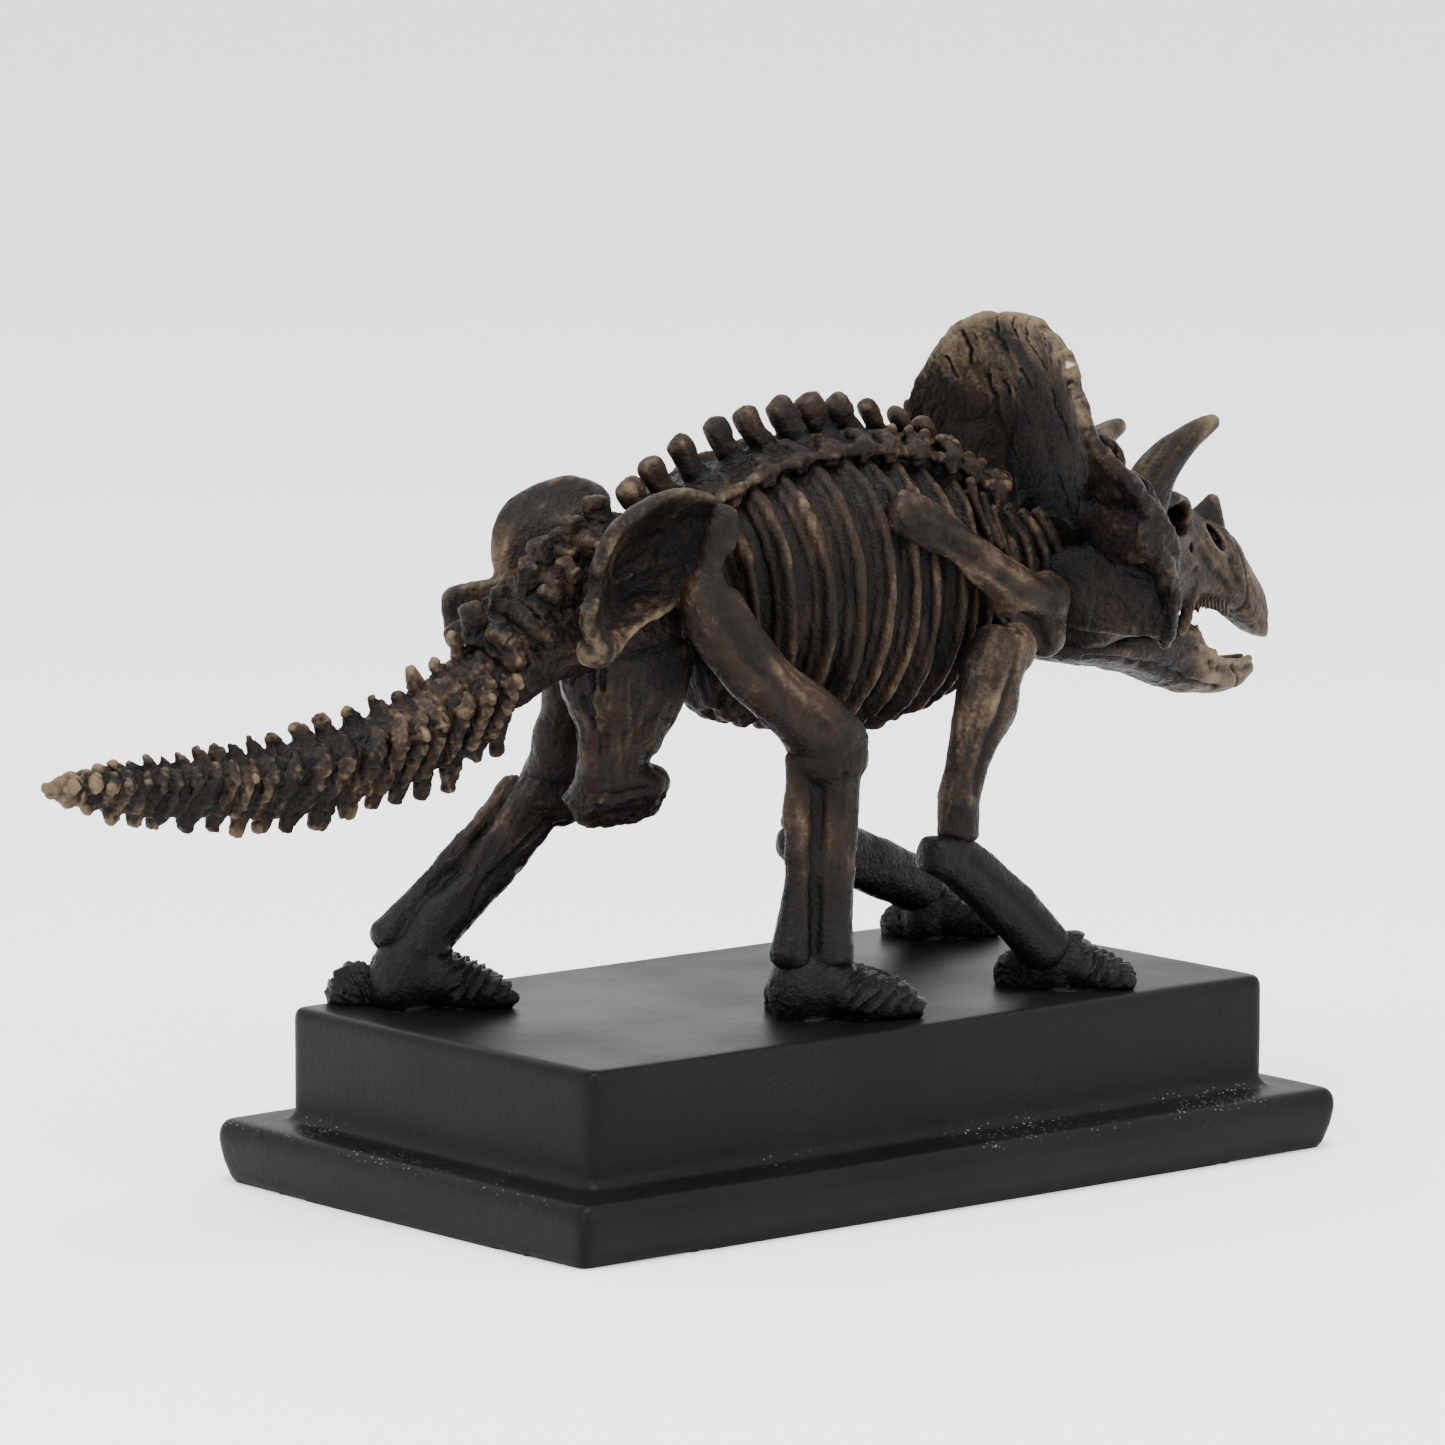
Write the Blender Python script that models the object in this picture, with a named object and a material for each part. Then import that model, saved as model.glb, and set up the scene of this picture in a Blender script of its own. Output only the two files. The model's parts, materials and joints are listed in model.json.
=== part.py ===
"""Cast resin desk statue of a triceratops skeleton walking on a two-step plinth.

Metres, +Z up. The origin is the middle of the plinth's underside, +X points to the beak and
+Y to the animal's left. Tables of stations are in millimetres and are scaled by MM when a mesh
is made. One body is made for each bone group, and the statue is divided where a person would
name its parts, with a gap of GAP between bodies that meet.
"""

import math

import bmesh
import bpy
import numpy as np
from mathutils import Matrix, Vector

MM = 0.001
GAP = 0.33
RIGHT = -1
LEFT = 1
SIDES = {RIGHT: "right", LEFT: "left"}

# Plinth: a moulded lower step with bowed sides, and a block on it.
STEP_LENGTH = 161.2
STEP_WIDTH = 97.0
STEP_TOP = 10.4
BLOCK_LENGTH = 143.6
BLOCK_WIDTH = 78.7
BLOCK_TOP = 29.1
SIDE_BOW = 0.6
CORNER_RADIUS = 1.6

# Trunk: where the backbone runs, how wide the ribs spread and how low they hang.
TRUNK_X = (-27.0, -15.0, -5.0, 5.0, 15.0, 25.0, 33.0, 42.0)
TRUNK_TOP = (111.0, 114.6, 116.6, 117.4, 116.6, 114.6, 112.0, 107.5)
TRUNK_BOTTOM = (77.2, 76.6, 75.2, 74.0, 73.0, 75.0, 77.0, 84.0)
TRUNK_HALF_WIDTH = (10.5, 15.5, 18.2, 19.2, 18.4, 16.0, 13.0, 9.0)
RIB_TOP_X = (-22.6, -14.6, -7.8, -1.0, 5.0, 11.0, 17.2, 23.6, 28.8, 33.6, 38.2)
RIB_HALF_WIDTH = (1.7, 1.8, 1.8, 1.8, 1.7, 1.6, 1.5, 1.4, 1.2, 1.1, 1.0)
RIB_RELIEF = 1.35
RIB_POINTS = 12

# Backbone: the tips of the spines from the hips to the shoulder. At each spine's foot a plate
# reaches out on both sides, and the plates' ends stand clear of the rib heads.
SPINE_TIP_X = (-33.0, -28.6, -22.4, -15.2, -8.6, -1.6, 4.6, 10.6, 17.2, 23.8, 29.6, 34.6)
SPINE_TIP_Z = (115.6, 119.2, 122.0, 124.6, 126.0, 126.9, 127.3, 126.8, 125.9, 124.3, 122.0, 118.8)
SPINE_LEAN = 5.6
SPINE_ROOT_DROP = 10.5
BACKBONE_HALF_WIDTH = 4.4
BACKBONE_DEPTH = 6.6
PLATE_REACH = 9.8
PLATE_NOTCH = 2.2
PLATE_HALF_LENGTH = 1.6
PLATE_HALF_THICK = 0.9
PLATE_DROP = 8.3
PLATE_SHIFT = SPINE_LEAN - 1.8

# Tail: the line of its middle, with half width and half height of the core at each station.
TAIL_X = (-59.0, -68.0, -77.0, -86.0, -96.0, -106.0, -116.0, -126.0, -136.0, -144.0)
TAIL_TOP = (98.0, 93.6, 88.8, 85.0, 82.8, 81.0, 80.2, 79.7, 79.0, 77.9)
TAIL_BOTTOM = (75.0, 70.6, 67.4, 66.4, 65.2, 65.3, 66.9, 68.0, 70.2, 73.6)
TAIL_HALF_WIDTH = (8.4, 7.4, 6.6, 6.0, 5.4, 4.9, 4.3, 3.6, 2.7, 1.6)
TAIL_TIP = (-147.4, 0.0, 76.2)
TAIL_SPINE_SHARE = 0.2
TAIL_CHEVRON_SHARE = 0.18
TAIL_RIDGE_SHARE = 0.62
TAIL_SPANS = ((-58.6, -86.0), (-86.0, -112.8), (-112.8, -146.6))
TAIL_SPINE = (
    (-63.6, 95.4), (-68.3, 94.2), (-72.5, 89.8), (-76.9, 89.3), (-80.4, 85.4), (-84.6, 85.3), (-89.9, 83.4),
    (-95.2, 83.2), (-99.7, 82.1), (-104.7, 80.8), (-108.5, 81.0), (-112.2, 80.5), (-115.4, 80.3),
    (-118.8, 80.3), (-122.4, 79.9), (-125.3, 79.8), (-128.2, 79.8), (-131.2, 79.4), (-134.2, 79.3),
    (-137.3, 78.9), (-140.5, 78.4), (-143.6, 77.9),
)
TAIL_CHEVRON = (
    (-59.9, 73.3), (-64.2, 73.2), (-69.6, 68.5), (-75.2, 67.8), (-80.0, 67.8), (-84.9, 67.1), (-89.9, 66.1),
    (-95.6, 65.1), (-101.6, 65.2), (-106.4, 65.5), (-111.0, 65.5), (-115.6, 66.8), (-120.9, 67.4),
    (-126.8, 68.0), (-130.9, 68.8), (-135.2, 70.0), (-139.6, 72.3), (-143.6, 73.8),
)
TAIL_KNOB_X = (
    -64.4, -70.4, -76.4, -82.4, -88.4, -94.4, -100.3, -106.1, -111.4, -117.0, -122.2, -127.4, -132.4, -137.4,
)

# Skull: x, middle z, half width and half height of the head from the cheeks to the beak.
SKULL = (
    (55.0, 88.0, 6.0, 6.0),
    (60.0, 91.0, 11.5, 10.0),
    (66.0, 95.0, 13.0, 13.0),
    (72.0, 97.2, 12.6, 13.0),
    (78.0, 96.2, 10.6, 11.4),
    (84.0, 94.4, 8.4, 10.4),
    (87.0, 94.2, 7.4, 9.6),
    (90.0, 93.8, 6.6, 8.4),
    (96.0, 92.6, 5.6, 7.2),
    (99.8, 90.2, 4.6, 6.4),
    (103.4, 86.6, 3.5, 5.7),
    (106.6, 83.6, 2.4, 4.1),
    (108.4, 81.2, 1.1, 2.0),
)
FRILL_RIM = (
    (49.4, 0.0, 138.1),
    (49.2, 5.4, 137.8),
    (48.4, 11.0, 136.3),
    (47.6, 15.8, 132.5),
    (46.5, 19.8, 127.0),
    (46.1, 22.8, 122.2),
    (46.8, 24.4, 118.4),
    (49.4, 25.6, 115.2),
    (52.6, 26.6, 111.8),
    (56.2, 26.8, 107.9),
    (60.1, 27.0, 104.0),
    (63.6, 26.0, 99.6),
    (65.6, 24.0, 92.6),
    (66.6, 22.0, 86.6),
    (67.2, 19.4, 82.6),
)
FRILL_CENTRE = (64.0, 0.0, 100.0)
FRILL_BULGE = 0.8
FRILL_LEAF = ((0.10, 2.4), (0.4, 1.5), (0.72, 1.2), (0.92, 1.4))
FRILL_EDGE = 0.8
BROW_HORN = (
    (71.4, 8.6, 105.0, 4.4),
    (73.6, 9.4, 110.2, 3.7),
    (76.8, 10.4, 114.0, 2.9),
    (80.8, 11.4, 117.0, 2.1),
    (84.6, 12.2, 118.8, 1.3),
)
LEFT_HORN_DROP = 2.6
NOSE_HORN = ((94.6, 0.0, 97.4, 3.4), (95.2, 0.0, 101.0, 2.4), (95.8, 0.0, 104.2, 1.1))
JAW = (
    (57.0, 81.0, 6.6, 1.8),
    (62.0, 81.2, 8.2, 2.6),
    (70.0, 80.8, 8.6, 3.2),
    (78.0, 80.4, 8.2, 5.4),
    (84.6, 79.2, 7.6, 6.4),
    (87.6, 77.6, 6.6, 6.2),
    (91.4, 76.6, 5.4, 5.2),
    (96.4, 73.2, 4.2, 3.3),
    (100.8, 73.3, 3.0, 1.9),
    (104.6, 74.2, 1.2, 0.9),
)
EYE_AT = (80.0, 7.4, 102.2)
NOSTRIL_AT = (92.2, 3.6, 98.0)
CHEEK_HORN = ((71.0, 10.0, 94.0, 3.0, 4.0), (69.4, 14.6, 88.0, 2.2, 3.4), (68.4, 16.8, 84.4, 1.4, 2.2))
UPPER_TEETH = 5
LOWER_TEETH = 4
TOOTH_START = 88.0
TOOTH_PITCH = 2.0
# Neck ribs: how far ahead of the first station, distance from the middle, z and two half sizes.
NECK_RIB = ((0.0, 3.0, 105.0, 1.3, 1.2), (0.6, 7.8, 99.0, 1.2, 1.0), (1.6, 6.6, 91.0, 0.8, 0.8))

# Hip girdle: the rim of the blade as x, distance from the middle and z.
HIP_RIM = (
    (-53.6, 18.7, 89.8),
    (-56.2, 18.2, 94.6),
    (-55.4, 17.2, 98.4),
    (-50.2, 12.6, 100.2),
    (-50.0, 13.0, 104.0),
    (-47.8, 14.3, 110.0),
    (-42.4, 14.7, 113.6),
    (-35.6, 13.8, 115.4),
    (-29.2, 12.7, 115.1),
    (-24.2, 12.9, 112.8),
    (-22.8, 13.4, 108.2),
    (-24.4, 13.8, 103.4),
    (-29.4, 14.2, 99.2),
    (-36.0, 15.0, 96.2),
    (-43.0, 16.0, 94.4),
    (-49.6, 17.4, 91.4),
)
HIP_CENTRE = (-39.0, 10.4, 103.0)
# From the middle of the inner face over the rim to the middle of the hollow: how far out towards
# the rim each ring lies, and how far it stands out sideways.
HIP_DEPTHS = (
    (0.3, -3.0), (0.72, -2.0), (0.97, -1.4), (1.0, 0.2), (0.95, 1.4), (0.84, 1.0), (0.62, -0.6), (0.3, -1.0),
)
# The far blade's front end is shorter than the near one's, from x = HIP_FRONT on.
LEFT_HIP_SHORT = 3.4
HIP_FRONT = -32.0
SACRUM_BONES = 5
SACRUM_KNOB_ANGLES = (-78, -52, -26, 0, 26, 52, 78)
SACRUM = (
    (-31.2, 103.0, 7.4, 9.6),
    (-37.0, 99.6, 9.0, 10.8),
    (-44.0, 95.0, 9.2, 10.6),
    (-51.0, 92.0, 8.8, 8.6),
    (-56.0, 89.6, 8.2, 8.0),
    (-58.4, 88.2, 8.0, 8.0),
)
# z, middle x, half length and half width of the fused hip bones that hang under the hips.
PUBIS = (
    (89.0, -33.0, 12.6, 9.0),
    (82.0, -33.8, 11.6, 8.0),
    (76.0, -34.6, 8.6, 6.6),
    (71.4, -36.2, 6.4, 5.2),
    (68.0, -36.0, 7.6, 5.8),
    (65.2, -35.5, 9.3, 6.6),
    (62.6, -35.2, 8.4, 5.4),
)

# Limb bones: x, y, z of the axis, half width across the animal and half depth along it.
SHOULDER_BLADE = (
    (9.2, 17.2, 109.6, 1.8, 3.4),
    (14.0, 18.6, 107.2, 2.2, 4.0),
    (21.0, 19.6, 103.0, 2.0, 3.1),
    (28.0, 19.4, 98.2, 2.3, 3.7),
    (35.0, 18.4, 93.4, 3.0, 4.8),
    (41.0, 17.0, 89.6, 3.0, 4.6),
)
SHOULDER_LOBES = (((42.0, 16.6, 91.6), (4.0, 3.4, 4.0)), ((40.2, 17.0, 85.8), (3.2, 3.0, 3.4)))
FEMUR = {
    RIGHT: (
        (-26.0, -16.6, 111.6, 2.2, 2.2),
        (-26.8, -16.4, 108.2, 2.6, 3.2),
        (-28.6, -15.6, 102.6, 2.8, 3.2),
        (-28.6, -15.6, 97.0, 4.4, 5.2),
        (-24.8, -18.0, 89.4, 4.8, 5.4),
        (-19.4, -20.2, 82.8, 4.6, 5.2),
        (-14.0, -22.2, 78.0, 5.4, 5.6),
        (-10.2, -23.0, 73.4, 6.6, 6.4),
    ),
    LEFT: (
        (-26.0, 16.6, 111.6, 2.2, 2.2),
        (-26.8, 16.4, 108.2, 2.6, 3.2),
        (-28.6, 15.6, 102.6, 2.8, 3.2),
        (-30.4, 14.6, 96.0, 4.4, 5.2),
        (-32.0, 15.0, 88.0, 4.6, 5.2),
        (-31.4, 17.0, 78.6, 4.2, 4.8),
        (-30.4, 20.0, 70.6, 4.8, 5.2),
        (-30.0, 22.2, 63.4, 5.6, 5.8),
    ),
}
TIBIA = {
    RIGHT: (
        (-9.4, -23.4, 74.5, 5.4, 6.0),
        (-9.6, -23.6, 66.0, 4.3, 4.6),
        (-9.8, -23.4, 55.0, 3.8, 4.1),
        (-10.2, -23.0, 45.0, 4.0, 4.4),
        (-10.6, -22.8, 38.6, 4.8, 5.0),
    ),
    LEFT: (
        (-30.6, 21.8, 65.0, 4.8, 5.2),
        (-38.0, 24.0, 54.6, 4.0, 4.2),
        (-45.2, 25.6, 47.2, 3.8, 4.0),
        (-52.0, 26.8, 41.2, 4.2, 4.2),
        (-55.0, 27.2, 37.4, 4.8, 4.6),
    ),
}
FIBULA = {
    RIGHT: (
        (-14.6, -21.8, 71.0, 2.2, 2.4),
        (-15.2, -22.0, 62.0, 2.2, 2.2),
        (-15.2, -22.0, 50.0, 2.2, 2.3),
        (-16.2, -21.6, 39.6, 2.8, 2.8),
    ),
    LEFT: (
        (-34.2, 28.0, 63.2, 1.8, 1.8),
        (-41.0, 29.2, 56.2, 1.7, 1.7),
        (-46.2, 30.0, 51.2, 1.8, 1.8),
        (-52.0, 30.6, 45.6, 2.0, 2.0),
        (-58.6, 30.6, 40.2, 2.2, 2.2),
    ),
}
HUMERUS = {
    RIGHT: (
        (29.8, -20.6, 86.6, 4.6, 4.2),
        (27.0, -21.2, 82.0, 4.8, 5.4),
        (24.6, -22.0, 76.6, 4.2, 5.8),
        (21.4, -22.6, 70.6, 3.6, 4.2),
        (18.4, -23.2, 63.6, 3.4, 3.5),
        (16.8, -24.0, 56.2, 3.9, 3.5),
    ),
    LEFT: (
        (31.4, 20.6, 87.0, 4.6, 4.6),
        (30.4, 21.0, 81.0, 4.6, 6.0),
        (28.2, 21.4, 74.0, 4.2, 5.4),
        (25.6, 21.8, 66.6, 3.5, 4.0),
        (24.4, 22.2, 59.0, 3.4, 3.4),
        (22.8, 22.8, 51.8, 3.8, 3.4),
    ),
}
FOREARM = {
    RIGHT: (
        (11.4, -24.0, 53.4, 3.4, 2.9),
        (17.2, -24.4, 51.5, 3.6, 4.3),
        (23.7, -25.2, 46.1, 3.4, 4.4),
        (29.3, -26.2, 40.8, 3.6, 4.4),
        (33.8, -27.0, 36.0, 4.0, 4.3),
    ),
    LEFT: (
        (21.0, 23.0, 48.6, 3.3, 2.9),
        (27.4, 23.4, 47.5, 3.4, 4.9),
        (37.4, 24.2, 44.2, 3.3, 5.0),
        (46.8, 25.2, 40.5, 3.4, 4.7),
        (53.2, 26.0, 37.2, 3.8, 4.4),
    ),
}
# Feet: heel x and y, heading in degrees from +X, length and width over the toes, and x and y of
# the side lobe that stands beside the heel.
TOES = 4
HIND_FOOT = {
    RIGHT: (-13.6, -21.6, -10.0, 18.0, 22.0, -9.6, -14.2),
    LEFT: (-57.0, 27.6, -8.0, 16.0, 22.0, -60.6, 36.2),
}
FORE_FOOT = {
    RIGHT: (36.0, -26.6, -18.0, 13.0, 14.0, 34.6, -19.4),
    LEFT: (53.0, 25.4, -4.0, 12.6, 14.0, 53.4, 31.0),
}
SHIN_LOBE = 4.4
WRIST_LOBE = 3.8

COLLECTION = "triceratops_skeleton_statue"
BONE_FINISH = ("painted_resin_bone", (0.085, 0.062, 0.045), 0.5)
PLINTH_FINISH = ("satin_black_plinth", (0.012, 0.012, 0.014), 0.42)


def clear_scene():
    for item in list(bpy.data.objects):
        bpy.data.objects.remove(item, do_unlink=True)


def new_collection(name):
    group = bpy.data.collections.new(name)
    bpy.context.scene.collection.children.link(group)
    return group


def material(name, colour, roughness):
    finish = bpy.data.materials.new(name)
    finish.use_nodes = True
    shader = finish.node_tree.nodes["Principled BSDF"]
    shader.inputs["Base Color"].default_value = (*colour, 1.0)
    shader.inputs["Roughness"].default_value = roughness
    shader.inputs["Metallic"].default_value = 0.0
    return finish


def mesh_object(mesh, name):
    """Turn a finished bmesh into an object in the pieces collection, faces pointing out."""
    bmesh.ops.recalc_face_normals(mesh, faces=mesh.faces)
    data = bpy.data.meshes.new(name)
    mesh.to_mesh(data)
    mesh.free()
    piece = bpy.data.objects.new(name, data)
    bpy.data.collections["pieces"].objects.link(piece)
    return piece


def loft(rings, name="loft"):
    """Skin a closed body over rings of points in millimetres, each ring with as many points."""
    mesh = bmesh.new()
    loops = [[mesh.verts.new(Vector(point) * MM) for point in ring] for ring in rings]
    count = len(loops[0])
    for first, second in zip(loops, loops[1:]):
        for index in range(count):
            after = (index + 1) % count
            mesh.faces.new((first[index], first[after], second[after], second[index]))
    caps = [mesh.faces.new(list(reversed(loops[0]))), mesh.faces.new(loops[-1])]
    bmesh.ops.triangulate(mesh, faces=caps)
    return mesh_object(mesh, name)


def tube(stations, sides=10, grow=0.0, across=(0.0, 1.0, 0.0), rounded=True, name="tube"):
    """Loft oval sections along a path. A station is x, y, z, half width along the direction
    across and half depth square to it. Rounded ends get one more, smaller section each."""
    points = [Vector(station[:3]) for station in stations]
    halves = [(station[3] + grow, station[4] + grow) for station in stations]
    first = (points[0] - points[1]).normalized()
    last = (points[-1] - points[-2]).normalized()
    points[0] += first * grow
    points[-1] += last * grow
    if rounded:
        points.insert(0, points[0] + first * 0.45 * min(halves[0]))
        points.append(points[-1] + last * 0.45 * min(halves[-1]))
        halves.insert(0, tuple(0.62 * half for half in halves[0]))
        halves.append(tuple(0.62 * half for half in halves[-1]))
    rings = []
    for index, (point, (width, depth)) in enumerate(zip(points, halves)):
        before = points[max(index - 1, 0)]
        after = points[min(index + 1, len(points) - 1)]
        along = (after - before).normalized()
        side = Vector(across)
        side = (side - along * side.dot(along)).normalized()
        up = along.cross(side)
        angles = [2 * math.pi * (step + 0.5) / sides for step in range(sides)]
        rings.append([point + side * width * math.cos(a) + up * depth * math.sin(a) for a in angles])
    return loft(rings, name)


def ball(centre, radii, segments=10, rings=6):
    """A sphere primitive stretched to three radii, in millimetres."""
    mesh = bmesh.new()
    bmesh.ops.create_uvsphere(mesh, u_segments=segments, v_segments=rings, radius=1.0)
    stretch = Matrix.Diagonal((*[radius * MM for radius in radii], 1.0))
    mesh.transform(Matrix.Translation(Vector(centre) * MM) @ stretch)
    return mesh_object(mesh, "ball")


def slab(x, z, thickness):
    """A thick upright block across the animal at x, to part a body."""
    mesh = bmesh.new()
    bmesh.ops.create_cube(mesh, size=1.0)
    place = Matrix.Translation(Vector((x, 0.0, z)) * MM)
    mesh.transform(place @ Matrix.Diagonal((thickness * MM, 80.0 * MM, 80.0 * MM, 1.0)))
    return mesh_object(mesh, "slab")


def combine(body, others, operation):
    """Apply one Boolean of a whole collection of closed pieces to a body, and remove them."""
    group = new_collection("operands")
    for other in others:
        bpy.data.collections["pieces"].objects.unlink(other)
        group.objects.link(other)
    change = body.modifiers.new("combine", "BOOLEAN")
    change.operation = operation
    change.operand_type = "COLLECTION"
    change.collection = group
    change.solver = "MANIFOLD"
    bpy.context.view_layer.update()
    evaluated = body.evaluated_get(bpy.context.evaluated_depsgraph_get())
    result = bpy.data.meshes.new_from_object(evaluated)
    body.modifiers.clear()
    body.data = result
    for other in others:
        bpy.data.objects.remove(other, do_unlink=True)
    bpy.data.collections.remove(group)


def signed_volume(faces):
    total = 0.0
    for face in faces:
        corners = [corner.vert.co for corner in face.loops]
        for second, third in zip(corners[1:], corners[2:]):
            total += corners[0].dot(second.cross(third)) / 6.0
    return total


def keep_largest(body):
    """Keep only the closed surface that holds the most, so no sealed hollow or scrap is left."""
    mesh = bmesh.new()
    mesh.from_mesh(body.data)
    left = set(mesh.faces)
    shells = []
    while left:
        shell = {left.pop()}
        edge_of_shell = list(shell)
        while edge_of_shell:
            face = edge_of_shell.pop()
            for edge in face.edges:
                for other in edge.link_faces:
                    if other not in shell:
                        shell.add(other)
                        edge_of_shell.append(other)
        left -= shell
        shells.append(shell)
    largest = max(shells, key=signed_volume)
    scraps = [face for shell in shells if shell is not largest for face in shell]
    bmesh.ops.delete(mesh, geom=scraps, context="FACES")
    bmesh.ops.delete(mesh, geom=[v for v in mesh.verts if not v.link_faces], context="VERTS")
    bmesh.ops.triangulate(mesh, faces=mesh.faces)
    mesh.to_mesh(body.data)
    mesh.free()


def node(name, pieces, finish, clear_of=()):
    """Fuse a node's closed pieces, cut it clear of the grown neighbours, and name it."""
    body = pieces[0]
    if len(pieces) > 1:
        combine(body, pieces[1:], "UNION")
    if clear_of:
        combine(body, list(clear_of), "DIFFERENCE")
    keep_largest(body)
    body.name = name
    body.data.name = name
    slot, colour, roughness = finish
    body.data.materials.clear()
    body.data.materials.append(material(f"{slot}_{name}", colour, roughness))
    body.data.shade_smooth()
    body.data.set_sharp_from_angle(angle=math.radians(35.0))
    bpy.data.collections["pieces"].objects.unlink(body)
    bpy.data.collections[COLLECTION].objects.link(body)
    return body


def mirrored(stations):
    """The same stations on the other side of the animal."""
    return tuple((station[0], -station[1], *station[2:]) for station in stations)


def on_side(stations, side):
    return stations if side == LEFT else mirrored(stations)


def read(x, xs, values):
    return float(np.interp(x, xs, values))


def plinth_ring(z, length, width):
    """A rectangle with small round corners and sides that bow out a little."""
    half_x, half_y = length / 2, width / 2
    points = []
    for corner in range(4):
        sign_x = 1 if corner in (0, 3) else -1
        sign_y = 1 if corner in (0, 1) else -1
        middle = Vector((sign_x * (half_x - CORNER_RADIUS), sign_y * (half_y - CORNER_RADIUS), z))
        for step in range(4):
            angle = math.radians(90 * corner + 30 * step)
            points.append(middle + CORNER_RADIUS * Vector((math.cos(angle), math.sin(angle), 0)))
        if corner in (0, 2):
            for share in (0.6, 0.0, -0.6):
                bow = SIDE_BOW * (1 - share * share)
                points.append(Vector((sign_x * half_x * share, sign_y * (half_y + bow), z)))
        else:
            points.append(Vector((sign_x * (half_x + SIDE_BOW), 0.0, z)))
    return points


def plinth_pieces():
    profile = (
        (0.0, STEP_LENGTH - 3.4, STEP_WIDTH - 5.4),
        (0.8, STEP_LENGTH - 2.0, STEP_WIDTH - 3.8),
        (4.0, STEP_LENGTH - 0.8, STEP_WIDTH - 1.4),
        (7.4, STEP_LENGTH, STEP_WIDTH),
        (9.2, STEP_LENGTH - 0.6, STEP_WIDTH - 0.6),
        (10.1, STEP_LENGTH - 1.8, STEP_WIDTH - 1.8),
        (STEP_TOP, STEP_LENGTH - 3.6, STEP_WIDTH - 3.6),
        (STEP_TOP, BLOCK_LENGTH + 2.6, BLOCK_WIDTH + 2.6),
        (10.9, BLOCK_LENGTH + 0.8, BLOCK_WIDTH + 0.8),
        (12.0, BLOCK_LENGTH, BLOCK_WIDTH),
        (27.8, BLOCK_LENGTH, BLOCK_WIDTH),
        (28.8, BLOCK_LENGTH - 0.7, BLOCK_WIDTH - 0.7),
        (BLOCK_TOP, BLOCK_LENGTH - 2.0, BLOCK_WIDTH - 2.0),
    )
    return [loft([plinth_ring(*row) for row in profile], "plinth")]


def backbone_ring(x, reach, grow=0.0):
    """A roof-like section of the row of vertebrae, with a plate's end on each side."""
    level = read(x, [tip + PLATE_SHIFT for tip in SPINE_TIP_X], [tip - PLATE_DROP for tip in SPINE_TIP_Z])
    side = (
        (reach + grow, level + PLATE_HALF_THICK + grow),
        (reach + grow, level - PLATE_HALF_THICK - grow),
        (BACKBONE_HALF_WIDTH + grow, level - BACKBONE_DEPTH - grow),
    )
    ring = [(x, 0.0, level + 2.4 + grow)]
    ring += [(x, y, z) for y, z in side]
    ring += [(x, -y, z) for y, z in reversed(side)]
    return ring


def backbone_core(grow=0.0, start=-31.8, end=41.6):
    """The row of vertebrae with no notches, grown to cut a neighbour clear of it."""
    xs = [start]
    for tip in SPINE_TIP_X:
        xs += [tip + PLATE_SHIFT - PLATE_HALF_LENGTH, tip + PLATE_SHIFT + PLATE_HALF_LENGTH]
    xs.append(end)
    return loft([backbone_ring(x, PLATE_REACH, grow) for x in xs], "vertebrae")


def backbone_pieces():
    places = [tip + PLATE_SHIFT for tip in SPINE_TIP_X]
    rings = [backbone_ring(places[0] - 2.4, PLATE_REACH - PLATE_NOTCH)]
    for number, place in enumerate(places):
        after = places[number + 1] if number + 1 < len(places) else place + 5.0
        reach = PLATE_REACH - 0.3 * (number % 3)
        rings.append(backbone_ring(place - PLATE_HALF_LENGTH, reach))
        rings.append(backbone_ring(place + PLATE_HALF_LENGTH, reach))
        rings.append(backbone_ring((place + after) / 2, PLATE_REACH - PLATE_NOTCH))
    pieces = [loft(rings, "vertebrae")]
    for number, (x, z) in enumerate(zip(SPINE_TIP_X, SPINE_TIP_Z)):
        root_x = x + SPINE_LEAN
        root_z = z - SPINE_ROOT_DROP
        thick = 1.6 + 0.15 * math.sin(2.3 * number)
        spine = (
            (root_x - 0.4, 0.0, root_z + 1.0, 2.2, 2.8),
            (root_x - 1.9, 0.0, root_z + 4.6, 1.7, 2.2),
            (x + 0.8, 0.0, z - 2.0, thick, 2.0),
            (x - 0.2, 0.0, z - 0.2, 1.0, 1.2),
        )
        pieces.append(tube(spine, sides=6, rounded=False))
    return pieces


def trunk_ring(x, side, relief, grow=0.0, drop=0.0):
    """One line down the side of the trunk from the backbone to the belly, closed up the middle.
    The ribs sweep a little with height, and the hindmost lean forward as they go down."""
    top = read(x, TRUNK_X, TRUNK_TOP) + grow
    bottom = read(x, TRUNK_X, TRUNK_BOTTOM) - grow - drop
    half_width = read(x, TRUNK_X, TRUNK_HALF_WIDTH) + relief + grow
    middle = (top + bottom) / 2
    half_height = (top - bottom) / 2
    sweep = read(x, (-23.0, -15.0, -5.0, 17.0, 40.0), (9.0, 3.0, 0.5, -4.0, -2.5))
    points = []
    for step in range(RIB_POINTS):
        share = step / (RIB_POINTS - 1)
        angle = math.pi * share
        shift = 2.0 * math.sin(angle) + sweep * share
        y = GAP / 2 + half_width * math.sin(angle) ** 0.86
        points.append((x + shift, side * y, middle + half_height * math.cos(angle)))
    return points


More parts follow.
